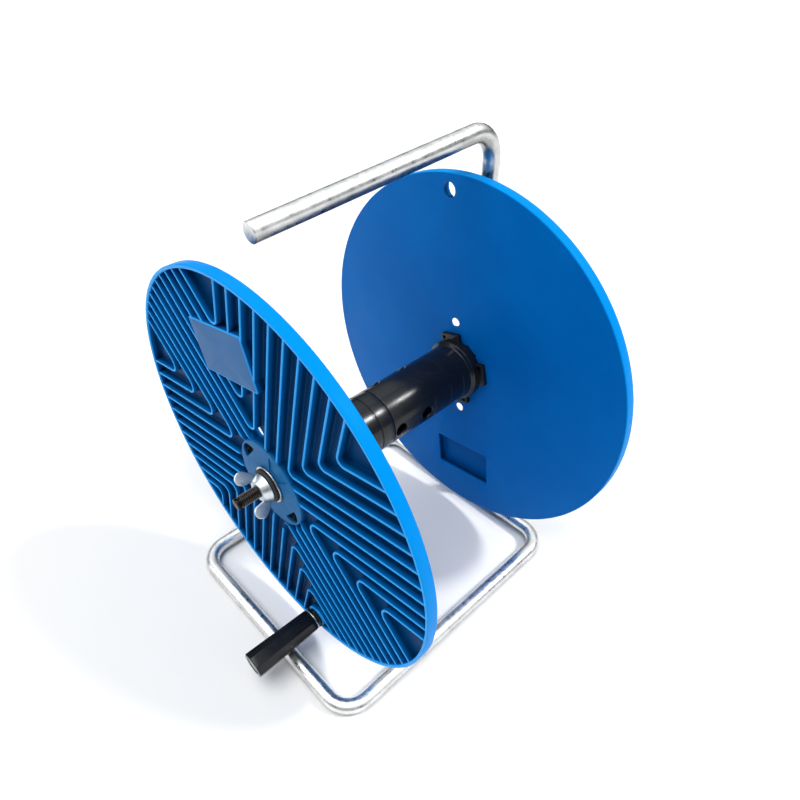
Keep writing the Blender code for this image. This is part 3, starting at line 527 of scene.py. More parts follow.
def rib_paths():
    """Every rib's middle line, seen from the ribbed side, with the label plate's heading as zero."""
    paths = []
    for index, (first, second, tip) in enumerate(CHEVRONS):
        for turn in range(12):
            path = chevron_path(index, (first + turn) * RIB_PITCH, (second + turn) * RIB_PITCH, tip)
            if path is not None:
                paths.append(path)
        along, side = family(index)
        offset = 1.0 - CHEVRONS[index - 1][1]
        while offset < first - 0.25:
            outs = (*(PAD_RADIUS + v for v in PAD_STEPS), RIB_SPAN)
            paths.append(np.array([rib_end(along, side, offset * RIB_PITCH, out) for out in outs]))
            offset += 1.0
    return paths


print("ribs", len(rib_paths()))

# %% [markdown]
# A rib stops at the label plate's walls and leaves the holes free. So each path is cut where it
# crosses those rectangles: a straight stretch enters and leaves a rectangle where it crosses the
# nearest and farthest of its four sides, and only the stretches outside are kept.

# %% Keep the ribs out of the plate and the holes
PLATE_WALL = 0.0018
KEEP_OUT = (((PLATE_OUT, 0.0), (0.5 * PLATE_SIZE[0] - 0.0009, 0.5 * PLATE_SIZE[1] - 0.0009)),
            ((-CRANK_OUT, 0.0), (0.0066, 0.0066)),
            ((SIGHT_OUT, 0.0), (0.0045, 0.0045)), ((-SIGHT_OUT, 0.0), (0.0045, 0.0045)))


def crossing(start, end, centre, half):
    """The stretch of a segment inside a rectangle, as two fractions of its length, or None."""
    low, high = 0.0, 1.0
    for axis in range(2):
        step = end[axis] - start[axis]
        gap = start[axis] - centre[axis]
        if abs(step) < 1e-9:
            if abs(gap) > half[axis]:
                return None
            continue
        near, far = sorted(((-half[axis] - gap) / step, (half[axis] - gap) / step))
        low, high = max(low, near), min(high, far)
    return (low, high) if high > low else None


def clipped(path):
    """The stretches of a path that stay out of every rectangle."""
    runs, run = [], [path[0]]
    for start, end in zip(path[:-1], path[1:]):
        cuts = sorted(c for c in (crossing(start, end, *area) for area in KEEP_OUT) if c)
        for low, high in cuts:
            if low > 0.0:
                run.append(start + low * (end - start))
            if len(run) > 1:
                runs.append(np.array(run))
            run = [start + high * (end - start)] if high < 1.0 else []
        if not cuts or cuts[-1][1] < 1.0:
            run.append(end)
    if len(run) > 1:
        runs.append(np.array(run))
    return [r for r in runs if np.linalg.norm(r[-1] - r[0]) > 0.002 or len(r) > 3]


ribs = [run for path in rib_paths() for run in clipped(path)]
print("rib stretches", len(ribs))

# %% [markdown]
# A moulded rib is a little thicker at its root, where a cove runs into the floor of the channel,
# and its top is rounded. The section is carried along the path: a point at (side, depth) goes to
# path + side * normal, and its depth stays. Close to the hub pad the rib is lower, so that it runs
# into the pad's side and not over its face.

# %% Carry the rib's section along its path
RIB_TOP = 0.0005
PAD_TOP = 0.0015
RIB_HALF = 0.0008
RIB_DRAFT = 0.0004
RIB_COVE = 0.0011


def rib_section():
    """Half a section from the root's cove to the rounded top, and its mirror image."""
    floor = MOULDING_FACE
    root = RIB_HALF + RIB_DRAFT
    corners = [(root + RIB_COVE, floor + 0.0004), (root + RIB_COVE, floor), (root, floor),
               (RIB_HALF, RIB_TOP), (0.0, RIB_TOP)]
    half = rounded(corners, [0.0, 0.0, RIB_COVE, 0.0005, 0.0], 4, closed=False)
    return np.concatenate([half, half[-2::-1] * (-1.0, 1.0)])


def carried(path, section):
    """A closed solid along a flat path, with each end drawn together to its middle."""
    step = np.gradient(path, axis=0)
    step[0], step[-1] = path[1] - path[0], path[-1] - path[-2]
    step /= np.linalg.norm(step, axis=1)[:, None]
    side = np.stack([-step[:, 1], step[:, 0]], -1)
    flat = path[:, None] + side[:, None] * section[None, :, 0, None]
    near = np.clip((PAD_RADIUS + 0.0045 - np.linalg.norm(flat, axis=-1)) / 0.004, 0.0, 1.0)
    lowered = (PAD_TOP + 0.0003 - RIB_TOP) / (MOULDING_FACE - RIB_TOP) * near
    depth = section[None, :, 1] + (MOULDING_FACE - section[None, :, 1]) * lowered
    solid = np.concatenate([flat, depth[..., None]], -1)
    return grid(capped(solid))


rib_parts = [carried(path, rib_section()) for path in ribs]
print("rib points", sum(len(part[0]) for part in rib_parts))

# %% [markdown]
# The dish of the flange is one closed profile turned about the axle: a rounded rim wall, the floor
# of the channels, the hub pad with its bore, the flat inner face, and the spigot inside the core.
# The label plate, the crank boss, the slots and the holes are joined and cut with Booleans.

# %% Shapes to join and cut, in the moulding's own places
RIM_WALL = 0.0026
PLATE_TOP = 0.0002
HUB_BORE = 0.0070
PAD_FLANK = 0.0018
SPIGOT = (0.0191, 0.0221)
SLOT_HEADING = math.radians(38.0)
DISH_RADIUS = 0.5 * (crank_high[0] - crank_low[0]) - 0.00001


def dish():
    """The flange's turned body as (out, depth) corners, each with its rounding."""
    corners = [(DISH_RADIUS, DEPTH), (DISH_RADIUS, 0.0), (FLANGE_RADIUS - RIM_WALL, 0.0),
               (FLANGE_RADIUS - RIM_WALL - 0.0002, MOULDING_FACE), (PAD_RADIUS + PAD_FLANK, MOULDING_FACE),
               (PAD_RADIUS, PAD_TOP), (HUB_BORE, PAD_TOP), (HUB_BORE, DEPTH), (SPIGOT[0], DEPTH),
               (SPIGOT[0], DEPTH + 0.005), (SPIGOT[1], DEPTH + 0.005), (SPIGOT[1], DEPTH)]
    radii = [0.0013, 0.0007, 0.0008, 0.0012, 0.0018, 0.0010, 0.0004, 0.0, 0.0, 0.0006, 0.0006, 0.0]
    profile = rounded(corners, radii, 4)
    around = full_turn(168)
    out = profile[:, None, 0]
    points = np.stack([out * np.cos(around), out * np.sin(around),
                       np.broadcast_to(profile[:, None, 1], (len(profile), 168))], -1)
    return grid(points, wrap_rows=True)


def prism(loop, low, high, low_edge=0.0, high_edge=0.0, steps=4, middle=None):
    """A flat loop given a depth; each edge is an arc, made by moving the loop inward on its normals.

    The end faces fan out from the middle, so every place of the loop has to be in sight of it.
    """
    loop = np.array(loop, float)
    ahead, behind = np.roll(loop, -1, 0), np.roll(loop, 1, 0)
    if np.sum(loop[:, 0] * ahead[:, 1] - loop[:, 1] * ahead[:, 0]) < 0.0:
        loop, ahead, behind = loop[::-1], ahead[::-1], behind[::-1]
        ahead, behind = behind, ahead
    step = ahead - behind
    step /= np.linalg.norm(step, axis=1)[:, None]
    outward = np.stack([step[:, 1], -step[:, 0]], -1)
    turn = np.linspace(0.0, 0.5 * np.pi, steps + 1)
    low_turn = turn if low_edge else turn[-1:]
    high_turn = turn[::-1] if high_edge else turn[-1:]
    inset = np.concatenate([low_edge * (1.0 - np.sin(low_turn)), high_edge * (1.0 - np.sin(high_turn))])
    level = np.concatenate([low + low_edge * (1.0 - np.cos(low_turn)),
                            high - high_edge * (1.0 - np.cos(high_turn))])
    rings = loop[None] - outward[None] * inset[:, None, None]
    solid = np.concatenate([rings, np.broadcast_to(level[:, None, None], (*rings.shape[:2], 1))], -1)
    middle = loop.mean(0) if middle is None else np.array(middle)
    caps = [np.broadcast_to(np.append(middle, z), solid[0].shape)[None] for z in (level[0], level[-1])]
    return grid(np.concatenate([caps[0], solid, caps[1]]))


def turned(loop, heading):
    """A flat loop turned about the hub."""
    turn = np.array([[math.cos(heading), math.sin(heading)], [-math.sin(heading), math.cos(heading)]])
    return loop @ turn


def box_loop(centre, size, heading=0.0, corner=0.0006, steps=3):
    """A rectangle with rounded corners, turned about the hub with its centre."""
    half = 0.5 * np.array(size)
    loop = rounded(np.array([(-1, -1), (1, -1), (1, 1), (-1, 1)]) * half, corner, steps) + centre
    return turned(loop, heading)


def circle_loop(centre, radius, steps=36):
    """A round loop."""
    around = full_turn(steps)
    return np.stack([centre[0] + radius * np.cos(around), centre[1] + radius * np.sin(around)], -1)


def cone(centre):
    """A countersunk hole: its mouth is wider in the channel, and it is straight in the last 0.5 mm."""
    rings = ((SIGHT_HOLE, HOLE_HIGH), (SIGHT_HOLE, DEPTH - 0.0005),
             (SIGHT_HOLE + SIGHT_FLARE, MOULDING_FACE - 0.0004))
    solid = [np.column_stack([circle_loop(centre, out), np.full(36, level)]) for out, level in rings]
    return grid(capped(np.stack(solid)))


def boolean(mesh, operation, parts):
    """Join parts to a mesh, or cut them out, one after another, and return the result as a new mesh."""
    for part in parts:
        base = linked("boolean_base", mesh)
        tool = linked("boolean_tool", mesh_of("boolean_tool", [part]))
        step = base.modifiers.new("step", "BOOLEAN")
        step.operation, step.solver, step.object = operation, "EXACT", tool
        evaluated = base.evaluated_get(bpy.context.evaluated_depsgraph_get())
        mesh = bpy.data.meshes.new_from_object(evaluated)
        for thing in (base, tool):
            bpy.data.objects.remove(thing)
    return mesh


# %% Join and cut one moulding
HOLE_LOW, HOLE_HIGH = -0.01, 0.03
CRANK_HOLE = 0.0060
SIGHT_HOLE = 0.0042
SIGHT_FLARE = 0.0021
SLOT_CHORD, SLOT_PEAK, SLOT_HALF = 0.0270, 0.0355, 0.0112
SLOT_FLOOR = PAD_TOP + 0.0036
POCKET_FLOOR = 0.0020
BURIED = MOULDING_FACE + 0.0006
BOSS_RADIUS, BOSS_TOP, BOSS_WELL = 0.0102, 0.0003, 0.0082
POST_HOLE_OUT, POST_HOLE_SIZE = 0.0266, (0.0034, 0.0138)
RECESS_HEADING, RECESS_HALF = math.radians(57.5) - LABEL_HEADING, 0.375
RECESS_INNER, RECESS_OUTER, RECESS_FLOOR = 0.0165, 0.0318, PAD_TOP + 0.0011


def half_moon(heading, inset=0.0):
    """A slot's outline: a straight side towards the hub and an arc that bulges away from it."""
    rise = SLOT_PEAK - SLOT_CHORD
    radius = 0.5 * (SLOT_HALF ** 2 + rise ** 2) / rise
    reach = math.asin(SLOT_HALF / radius) * (1.0 - 0.5 * inset / SLOT_HALF)
    around = np.linspace(-reach, reach, 16)
    away = SLOT_PEAK - radius + (radius - inset) * np.cos(around)
    arc = np.stack([np.maximum(away, SLOT_CHORD + inset), (radius - inset) * np.sin(around)], -1)
    return turned(rounded(arc, [0.0009] + [0.0] * 14 + [0.0009], 4), heading)


def moulding():
    """Dish, plate and boss joined, then the pocket, the slots and the holes cut out."""
    plate = prism(box_loop((PLATE_OUT, 0.0), PLATE_SIZE, 0.0, 0.001), PLATE_TOP, BURIED, 0.0005)
    boss = prism(circle_loop((-CRANK_OUT, 0.0), BOSS_RADIUS), BOSS_TOP, BURIED, 0.0006)
    mesh = boolean(mesh_of("moulding", [dish()]), "UNION", [plate, boss])
    inside = (PLATE_SIZE[0] - 2.0 * PLATE_WALL, PLATE_SIZE[1] - 2.0 * PLATE_WALL)
    cuts = [prism(box_loop((PLATE_OUT, 0.0), inside, 0.0, 0.0012), POCKET_FLOOR, HOLE_HIGH),
            prism(circle_loop((-CRANK_OUT, 0.0), BOSS_WELL), HOLE_LOW, DEPTH - 0.0018),
            prism(circle_loop((-CRANK_OUT, 0.0), CRANK_HOLE), HOLE_LOW, HOLE_HIGH),
            cone((SIGHT_OUT, 0.0)), cone((-SIGHT_OUT, 0.0))]
    for heading in (SLOT_HEADING, SLOT_HEADING + math.pi):
        cuts.append(prism(half_moon(heading), HOLE_LOW, SLOT_FLOOR))
        post_hole = box_loop((POST_HOLE_OUT, 0.0), POST_HOLE_SIZE, heading, 0.0012)
        cuts.append(prism(post_hole, SLOT_FLOOR - 0.0006, HOLE_HIGH))
    around = np.linspace(-RECESS_HALF, RECESS_HALF, 14) + RECESS_HEADING
    arc = np.stack([np.cos(around), np.sin(around)], -1)
    recess = np.concatenate([RECESS_OUTER * arc, RECESS_INNER * arc[::-1]])
    cuts.append(prism(recess, HOLE_LOW, RECESS_FLOOR))
    return boolean(mesh, "DIFFERENCE", cuts)


flange_body = moulding()
print("moulding", len(flange_body.polygons), "faces")

# %% [markdown]
# Each flange is that one moulding set in its place. The crank flange shows its ribs to the crank
# side and the rear flange shows them to the frame side, so the rear one is turned round, not
# mirrored. Seen from its own ribbed side, each moulding is the same.

# %% Set the mouldings and their ribs in place
def in_flange(points, rear):
    """Moulding places to the frame: turn by the label's heading, and run the depth inward."""
    across, up, depth = points[..., 0], points[..., 1], points[..., 2]
    heading = REAR_LABEL_HEADING if rear else LABEL_HEADING
    up = -up if rear else up
    station_here = REAR_RIM - depth if rear else depth
    return np.stack([across * math.cos(heading) - up * math.sin(heading), RIM_Y + station_here,
                     AXLE_Z + across * math.sin(heading) + up * math.cos(heading)], -1)


def flange_part(part, rear):
    """A grid made in the moulding's own places, set in its flange."""
    return in_flange(part[0], rear), part[1], part[2]


def set_moulding(mesh, rear):
    """A copy of the moulding in its flange's place, its faces turned outward again."""
    placed = mesh.copy()
    flat = np.empty(3 * len(placed.vertices), np.float32)
    placed.vertices.foreach_get("co", flat)
    placed.vertices.foreach_set("co", in_flange(flat.reshape(-1, 3), rear).astype(np.float32).ravel())
    placed.flip_normals()
    return placed


FLANGES = (("crank_flange", False), ("rear_flange", True))
for node, rear in FLANGES:
    add_piece(node + "_moulding", set_moulding(flange_body, rear), blue_plastic, "drum",
              (node,), 32.0)
    turned_ribs = [flange_part(part, rear) for part in rib_parts]
    add_parts(node + "_ribs", turned_ribs, blue_plastic, "drum", (), 50.0)

# %% [markdown]
# The label is left off, so what remains is its bare plate: a thin card on the raised rectangle, with
# rounded corners and a finish that is paler and duller than the moulding round it.

# %% Bare label plates
CARD_MARGIN, CARD_SUNK, CARD_PROUD = 0.0016, 0.00012, 0.0002


def label_card(rear):
    """A thin rounded rectangle, sunk a little into the plate's face and just proud of it."""
    size = (PLATE_SIZE[0] - CARD_MARGIN, PLATE_SIZE[1] - CARD_MARGIN)
    outline = box_loop((PLATE_OUT, 0.0), size, 0.0, 0.0012, 5)
    return flange_part(prism(outline, PLATE_TOP - CARD_SUNK, PLATE_TOP + CARD_PROUD, 0.00008), rear)


for node, rear in FLANGES:
    add_parts(node + "_label_card", [label_card(rear)], plate_plastic, "drum")

# %% [markdown]
# ## The core
# The core is a black tube in two halves that plug into each other. Its outside shows the moulder's
# work: a collar at each flange, a snap groove near the joint, and thin raised rings. Four lugs on
# each collar and two hooks through each hub pad hold the flanges.

# %% Turn the two core halves
CORE_RADIUS = 0.025
CORE_BORE = 0.0224
CORE_JOINT = 0.107
COLLAR = (0.028, 0.008, 0.002)
TOUCH = 0.0003
RAISED_RINGS = (0.1532, 0.1552, 0.174, 0.1898)
LUG_ROOT, LUG_END, LUG_WIDTH, LUG_DEPTH, LUG_CORNER = 0.0242, 0.034, 0.02, 0.0045, 0.0016
LUG_HOLE_OUT, LUG_HOLE, LUG_HOLE_TURN = 0.031, 0.0017, math.radians(12.0)
POST_INSIDE, POST_OUTSIDE, POST_WIDTH = 0.0252, 0.0278, 0.010
CROSS_HOLE_HEADINGS = (math.radians(-3.0), math.radians(127.0))
CROSS_HOLE_STAGGER, CROSS_HOLE_PITCH = 0.005, 0.03


def ring_groove(centre, width=0.0009, depth=0.0004):
    """Corners of a shallow ring groove in the tube's outside, or of a raised line where depth is negative."""
    return [(CORE_RADIUS, centre - 0.5 * width), (CORE_RADIUS - depth, centre - 0.25 * width),
            (CORE_RADIUS - depth, centre + 0.25 * width), (CORE_RADIUS, centre + 0.5 * width)]


def front_core():
    """The front half from its joint's mouth, along the outside to its collar, and back inside."""
    face = INNER_FACE + TOUCH
    outside = [(COLLAR[0], face), (COLLAR[0], face + COLLAR[1]), (CORE_RADIUS, face + COLLAR[1] + COLLAR[2])]
    outside += [(CORE_RADIUS, s) for s in (0.03, 0.045, 0.06, 0.075, 0.09)]
    outside += ring_groove(0.094, 0.0014, 0.0006)
    outside += [(CORE_RADIUS, 0.1), (CORE_RADIUS, CORE_JOINT), (CORE_BORE, CORE_JOINT)]
    outside += [(CORE_BORE, 0.07), (CORE_BORE, 0.03), (CORE_BORE, face)]
    radii = [0.0006, 0.0007, 0.0012] + [0.0] * 5 + [0.0001] * 4 + [0.0, 0.0006, 0.0003, 0.0, 0.0, 0.0003]
    return rounded(outside, radii, 4)


def rear_core():
    """The rear half with its spigot, its thin raised rings and its collar."""
    face = REAR_INNER_FACE - TOUCH
    root = CORE_JOINT + TOUCH
    spigot = CORE_BORE - TOUCH
    outside = [(spigot - 0.0022, root - 0.016), (spigot, root - 0.016), (spigot, root), (CORE_RADIUS, root)]
    radii = [0.0004, 0.0004, 0.0002, 0.0007]
    for centre in RAISED_RINGS:
        outside += ring_groove(centre, 0.0006, -0.00016)
        radii += [0.0] * 4
    outside += [(CORE_RADIUS, face - COLLAR[1] - COLLAR[2]), (COLLAR[0], face - COLLAR[1]), (COLLAR[0], face),
                (CORE_BORE, face), (CORE_BORE, 0.16), (CORE_BORE, root + 0.0012), (spigot - 0.0022, root)]
    radii += [0.0012, 0.0007, 0.0006, 0.0003, 0.0, 0.0, 0.0]
    return rounded(outside, radii, 4)


def about_axle(part):
    """A flat prism's (across, up, depth) as places round the axle, the depth being a station."""
    points, faces, drawn = part
    return np.stack([points[:, 0], points[:, 2] + RIM_Y, points[:, 1] + AXLE_Z], -1), faces, drawn


def radial_block(heading, out_low, out_high, width, low, high, corner=0.0008, edge=0.0005):
    """A block with rounded corners, at a heading, between two distances to the axle."""
    loop = box_loop((0.5 * (out_low + out_high), 0.0), (out_high - out_low, width), heading, corner, 4)
    return about_axle(prism(loop, min(low, high), max(low, high), edge, edge, 3))


def flared_drill():
    """A drill along its depth that widens where it leaves the tube, so that the hole's mouth is rounded."""
    rings = ((-0.06, 0.0069), (-0.0253, 0.0069), (-0.0247, 0.0062), (-0.0240, 0.0057), (-0.0230, 0.0055))
    rings += tuple((-level, radius) for level, radius in rings[::-1])
    solid = np.stack([np.column_stack([circle_loop((0.0, 0.0), radius, 40), np.full(40, level)])
                      for level, radius in rings])
    return grid(capped(solid))


def dressed_core(profile, face, inward, lug_heading, hook_heading, first_hole):
    """The tube with lugs and hooks joined on, then its lug holes and its cross holes cut."""
    quarters = [lug_heading + 0.5 * math.pi * quarter for quarter in range(4)]
    lug_end = face + inward * LUG_DEPTH
    joined = [radial_block(heading, LUG_ROOT, LUG_END, LUG_WIDTH, face, lug_end, LUG_CORNER)
              for heading in quarters]
    post_end = face - inward * (TOUCH + DEPTH - SLOT_FLOOR + 0.0010)
    joined += [radial_block(heading, POST_INSIDE, POST_OUTSIDE, POST_WIDTH, face + inward * 0.003, post_end,
                            0.0005, 0.0004) for heading in (hook_heading, hook_heading + math.pi)]
    cuts = []
    for quarter in quarters:
        heading = quarter + LUG_HOLE_TURN
        centre = LUG_HOLE_OUT * np.array([math.cos(heading), math.sin(heading)])
        cuts.append(about_axle(prism(circle_loop(centre, LUG_HOLE, 24), face - 0.01, face + 0.01)))
    drill = flared_drill()
    side, along, out = drill[0].T
    for row, heading in enumerate(CROSS_HOLE_HEADINGS):
        for turn in range(2):
            centre = first_hole + CROSS_HOLE_STAGGER * row + CROSS_HOLE_PITCH * turn
            points = np.stack([out * math.cos(heading) - side * math.sin(heading), along + centre + RIM_Y,
                               out * math.sin(heading) + side * math.cos(heading) + AXLE_Z], -1)
            cuts.append((points, drill[1], None))
    tube = boolean(mesh_of("core", [lathe(profile, 112)]), "UNION", joined)
    return boolean(tube, "DIFFERENCE", cuts)


front_mesh = dressed_core(front_core(), INNER_FACE + TOUCH, 1.0, LABEL_HEADING - math.radians(7.0),
                          LABEL_HEADING + SLOT_HEADING, 0.040)
rear_mesh = dressed_core(rear_core(), REAR_INNER_FACE - TOUCH, -1.0, REAR_LABEL_HEADING + math.radians(7.0),
                         REAR_LABEL_HEADING - SLOT_HEADING, 0.1145)
add_piece("core_front_tube", front_mesh, core_plastic, "drum", ("core_front_half",), 28.0)
add_piece("core_rear_tube", rear_mesh, core_plastic, "drum", ("core_rear_half",), 28.0)

# %% [markdown]
# Each hook ends in a head that lies on the floor of its half-moon slot. The head is a flat half moon
# with a raised bar, where a screwdriver pushes it back. It is duller than the tube, because nothing
# rubs it.

# %% Hook heads in the slots
def hook_heads(rear):
    """Two half moons on the slot floors, each with a bar across it."""
    parts = []
    for heading in (SLOT_HEADING, SLOT_HEADING + math.pi):
        head = prism(half_moon(heading, 0.0002), SLOT_FLOOR - 0.0014, SLOT_FLOOR + 0.0001, 0.0003)
        bar = prism(box_loop((0.0312, 0.0), (0.0022, 0.0084), heading, 0.0006), SLOT_FLOOR - 0.0028,
                    SLOT_FLOOR - 0.0010, 0.0004)
        parts += [flange_part(head, rear), flange_part(bar, rear)]
    return parts


for node, rear in (("core_front", False), ("core_rear", True)):
    add_parts(node + "_hook_heads", hook_heads(rear), hook_plastic, "drum")

# %% [markdown]
# ## The bent bar frame
# Both bars are drawn round bar, bent cold round a former. The loop's ends meet under the handle,
# where the weld hides them. A section is carried along each path on a frame that never twists: its
# first direction is dragged along from point to point and squared to the path each time. The packed
# bars have sixteen sides, so their boxes lie a little less than 7 mm out from the middle line.

# %% Round bars along paths
BAR_LOW, BAR_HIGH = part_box("base_loop")
BAR_RADIUS = 0.5 * (BAR_HIGH[2] - BAR_LOW[2])
BAR_Z = 0.5 * (BAR_LOW[2] + BAR_HIGH[2])
HANDLE_RADIUS = 0.00647
BAR_SIDES = 16
SECTION_OUT = 0.0070 * math.cos(math.pi / BAR_SIDES)
BACK_Y = BAR_HIGH[1] - SECTION_OUT
BEND_RADIUS = 0.022
WELD_BEAD = 0.0021


def evenly(path, gap):
    """The path with extra points, so that no straight run is longer than the gap."""
    pieces = []
    for start, end in zip(path[:-1], path[1:]):
        count = max(1, int(np.ceil(np.linalg.norm(end - start) / gap)))
        pieces.append(start + (end - start) * (np.arange(count) / count)[:, None])
    return np.concatenate(pieces + [path[-1:]])


def swept(path, radii, sides, closed, first):
    """A round section on every point of a path; the stored vector is (distance, cos, sin)."""
    step = np.roll(path, -1, 0) - np.roll(path, 1, 0)
    if not closed:
        step[0], step[-1] = path[1] - path[0], path[-1] - path[-2]
    step /= np.linalg.norm(step, axis=1)[:, None]
    up = np.empty_like(path)
    held = np.array(first, float)
    for index, direction in enumerate(step):
        held = held - direction * (held @ direction)
        held /= np.linalg.norm(held)
        up[index] = held
    side = np.cross(step, up)
    around = full_turn(sides)
    ring = np.cos(around)[None, :, None] * up[:, None] + np.sin(around)[None, :, None] * side[:, None]
    points = path[:, None] + ring * np.asarray(radii)[:, None, None]
    run = np.concatenate([[0.0], np.cumsum(np.linalg.norm(np.diff(path, axis=0), axis=1))])
    drawn = np.stack(np.broadcast_arrays(run[:, None], np.cos(around)[None], np.sin(around)[None]), -1)
    if not closed:
        caps = [np.broadcast_to(path[i], points[i].shape)[None] for i in (0, -1)]
        points = np.concatenate([caps[0], points, caps[1]])
        drawn = np.concatenate([drawn[:1], drawn, drawn[-1:]])
    return grid(points, wrap_rows=closed, drawn=drawn.reshape(-1, 3))


front_y = BAR_LOW[1] + SECTION_OUT
left_x = BAR_LOW[0] + SECTION_OUT
right_x = BAR_HIGH[0] - SECTION_OUT
loop_corners = [(0.0, BACK_Y, BAR_Z), (left_x, BACK_Y, BAR_Z), (left_x, front_y, BAR_Z),
                (right_x, front_y, BAR_Z), (right_x, BACK_Y, BAR_Z)]
loop_path = rounded(loop_corners, [0.0] + [BEND_RADIUS] * 4, 14)
loop_path = evenly(np.concatenate([loop_path, loop_path[:1]]), 0.006)[:-1]
loop_bar = swept(loop_path, np.full(len(loop_path), BAR_RADIUS), 48, True, (0, 0, 1))
add_parts("base_loop_bar", [loop_bar], bar_zinc, "frame", ("base_loop",), merge=1e-7)

# %% [markdown]
# The handle bar rises from the middle of the back bar, and bends forward over the drum. Its free
# end was cropped and then chamfered, so the last rings draw in. The weld bead lies on the crossing
# of the two bars and shows the ripples of its puddle.

# %% The handle bar and its weld
HANDLE_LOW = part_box("handle_bar")[0]
HANDLE_RISE, HANDLE_BEND, HANDLE_DROOP = 0.0294, 0.0215, math.tan(math.radians(3.0))
HANDLE_ROOT, END_INSET, END_CHAMFER = 0.0040, 0.00036, 0.0008
handle_top = AXLE_Z + FLANGE_RADIUS + HANDLE_RISE
handle_end = HANDLE_LOW[1] + END_INSET
corners = [(0.0, BACK_Y, BAR_Z + HANDLE_ROOT), (0.0, BACK_Y, handle_top),
           (0.0, handle_end, handle_top - (BACK_Y - handle_end) * HANDLE_DROOP)]
handle_path = evenly(rounded(corners, HANDLE_BEND, 20, closed=False), 0.006)
back_off = handle_path[-2] - handle_path[-1]
back_off /= np.linalg.norm(back_off)
tip = handle_path[-1] + back_off * 0.0002
turn = np.linspace(0.0, 0.5 * np.pi, 5)
tail = tip + back_off * (END_CHAMFER * (1.0 - np.sin(turn)))[:, None]
handle_path = np.concatenate([handle_path[:-1], tail])
handle_radii = np.concatenate([np.full(len(handle_path) - 5, HANDLE_RADIUS),
                               HANDLE_RADIUS - END_CHAMFER * (1.0 - np.cos(turn))])
bent_bar = swept(handle_path, handle_radii, 48, False, (1, 0, 0))
add_parts("handle_bar_round", [bent_bar], bar_zinc, "frame", ("handle_bar",), merge=1e-7)


def weld_bead():
    """A rippled bead on the crossing of two round bars, from the crossing curve and a wavy radius."""
    along = full_turn(160)
    side_y = HANDLE_RADIUS * np.sin(along)
    middle = np.stack([HANDLE_RADIUS * np.cos(along), BACK_Y + side_y,
                       BAR_Z + np.sqrt(BAR_RADIUS ** 2 - side_y ** 2)], -1)
    ripple = 1.0 + 0.07 * np.sin(22.0 * along) + 0.04 * np.sin(9.0 * along + 1.0)
    outward = np.stack([np.cos(along), np.sin(along), np.zeros_like(along)], -1)
    around = full_turn(16)
    ring = np.cos(around)[None, :, None] * outward[:, None] + np.sin(around)[None, :, None] * (0.0, 0.0, 1.0)
    return grid(middle[:, None] + ring * (WELD_BEAD * ripple)[:, None, None], wrap_rows=True)


add_parts("handle_weld_bead", [weld_bead()], weld_steel, "frame")

# %% [markdown]
# ## The axle and its fasteners
# The axle is a length of threaded rod. The thread is real: its radius falls and rises once in each
# pitch, and the place in the pitch moves round with the heading, which makes the helix. Towards
# its ends the thread fades, and at the crank end a narrow neck sets off a short plain tip.

# %% Threads
def threaded(radius, low, high, pitch, depth, sides=36, rows=8, fade=0.0012):
    """A screw's outside: radius - depth * wave(station / pitch - heading / full turn)."""
    count = int(round((high - low) / pitch * rows)) + 1
    along = np.linspace(low, high, count)[:, None]
    heading = full_turn(sides)[None]
    phase = along / pitch - heading / (2.0 * np.pi)
    wave = np.clip(1.6 * np.abs(2.0 * (phase % 1.0) - 1.0) - 0.25, 0.0, 1.0)
    held = np.clip(np.minimum(along - low, high - along) / fade, 0.0, 1.0)
    return radius - depth * (wave * held + 0.6 * (1.0 - held)), heading, along


AXLE_RADIUS = 0.00398
AXLE_LOW, AXLE_HIGH = station("axle_rod")
TIP_LENGTH, TIP_NECK = 0.0024, 0.0012
STEP_END = AXLE_LOW + TIP_LENGTH + TIP_NECK
SHOULDER = station("fender_washer")[1] + 0.0001


def axle_parts():
    """The plain tip, the thicker thread up to the shoulder, the thinner thread and a closed end."""
    out, heading, along = threaded(FRONT_RADIUS, STEP_END, SHOULDER, 0.0015, 0.00075)
    thick = round_axle(out, heading, along)
    out, heading, along = threaded(AXLE_RADIUS, SHOULDER + 0.0001, AXLE_HIGH - 0.0005, 0.00125, 0.00058)
    thin = round_axle(out, heading, along)
    tail = round_axle(np.array([[AXLE_RADIUS - 0.0009], [0.0]]), heading, np.full((2, 1), AXLE_HIGH))
    cap, neck = FRONT_RADIUS - 0.0003, FRONT_RADIUS - 0.0010
    corners = [(0.0, AXLE_LOW), (cap, AXLE_LOW), (cap, AXLE_LOW + TIP_LENGTH), (neck, AXLE_LOW + TIP_LENGTH),
               (neck, STEP_END - 0.0001), (FRONT_RADIUS - 0.0006, STEP_END)]
    front = rounded(corners, [0.0, 0.0008, 0.0002, 0.0002, 0.0002, 0.0], 4, closed=False)
    tip = round_axle(front[:, None, 0], heading, front[:, None, 1])
    return grid(np.concatenate([tip, thick, thin, tail]))


add_parts("axle_threaded_rod", [axle_parts()], rod_steel, "frame", ("axle_rod",), 45.0)

# %% [markdown]
# Washers are stamped, so one edge is rounded more than the other. A nut is forged and then turned:
# a cone trims its six corners, which leaves an arc on every flat. The nut's surface is a grid from
# the bore outward, and the cone lowers every point beyond the trimming radius.

# %% Washers, sleeves and nuts
def centred_ring(node, bore, edge, finish, body, name, offset=(0.0, 0.0)):
    """A washer or sleeve in its node's box: outer radius and both faces come from the frame."""
    low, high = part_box(node)
    near, far = station(node)
    out = 0.5 * (high[0] - low[0]) - 0.00002
    corners = [(bore, near), (out, near), (out, far), (bore, far)]
    profile = rounded(corners, [0.6 * edge, edge, 0.6 * edge, 0.6 * edge], 4)
    points, faces, drawn = lathe(profile, 96)
    points = points + (offset[0], 0.0, offset[1])
    return add_parts(name, [(points, faces, drawn)], finish, body, (node,))


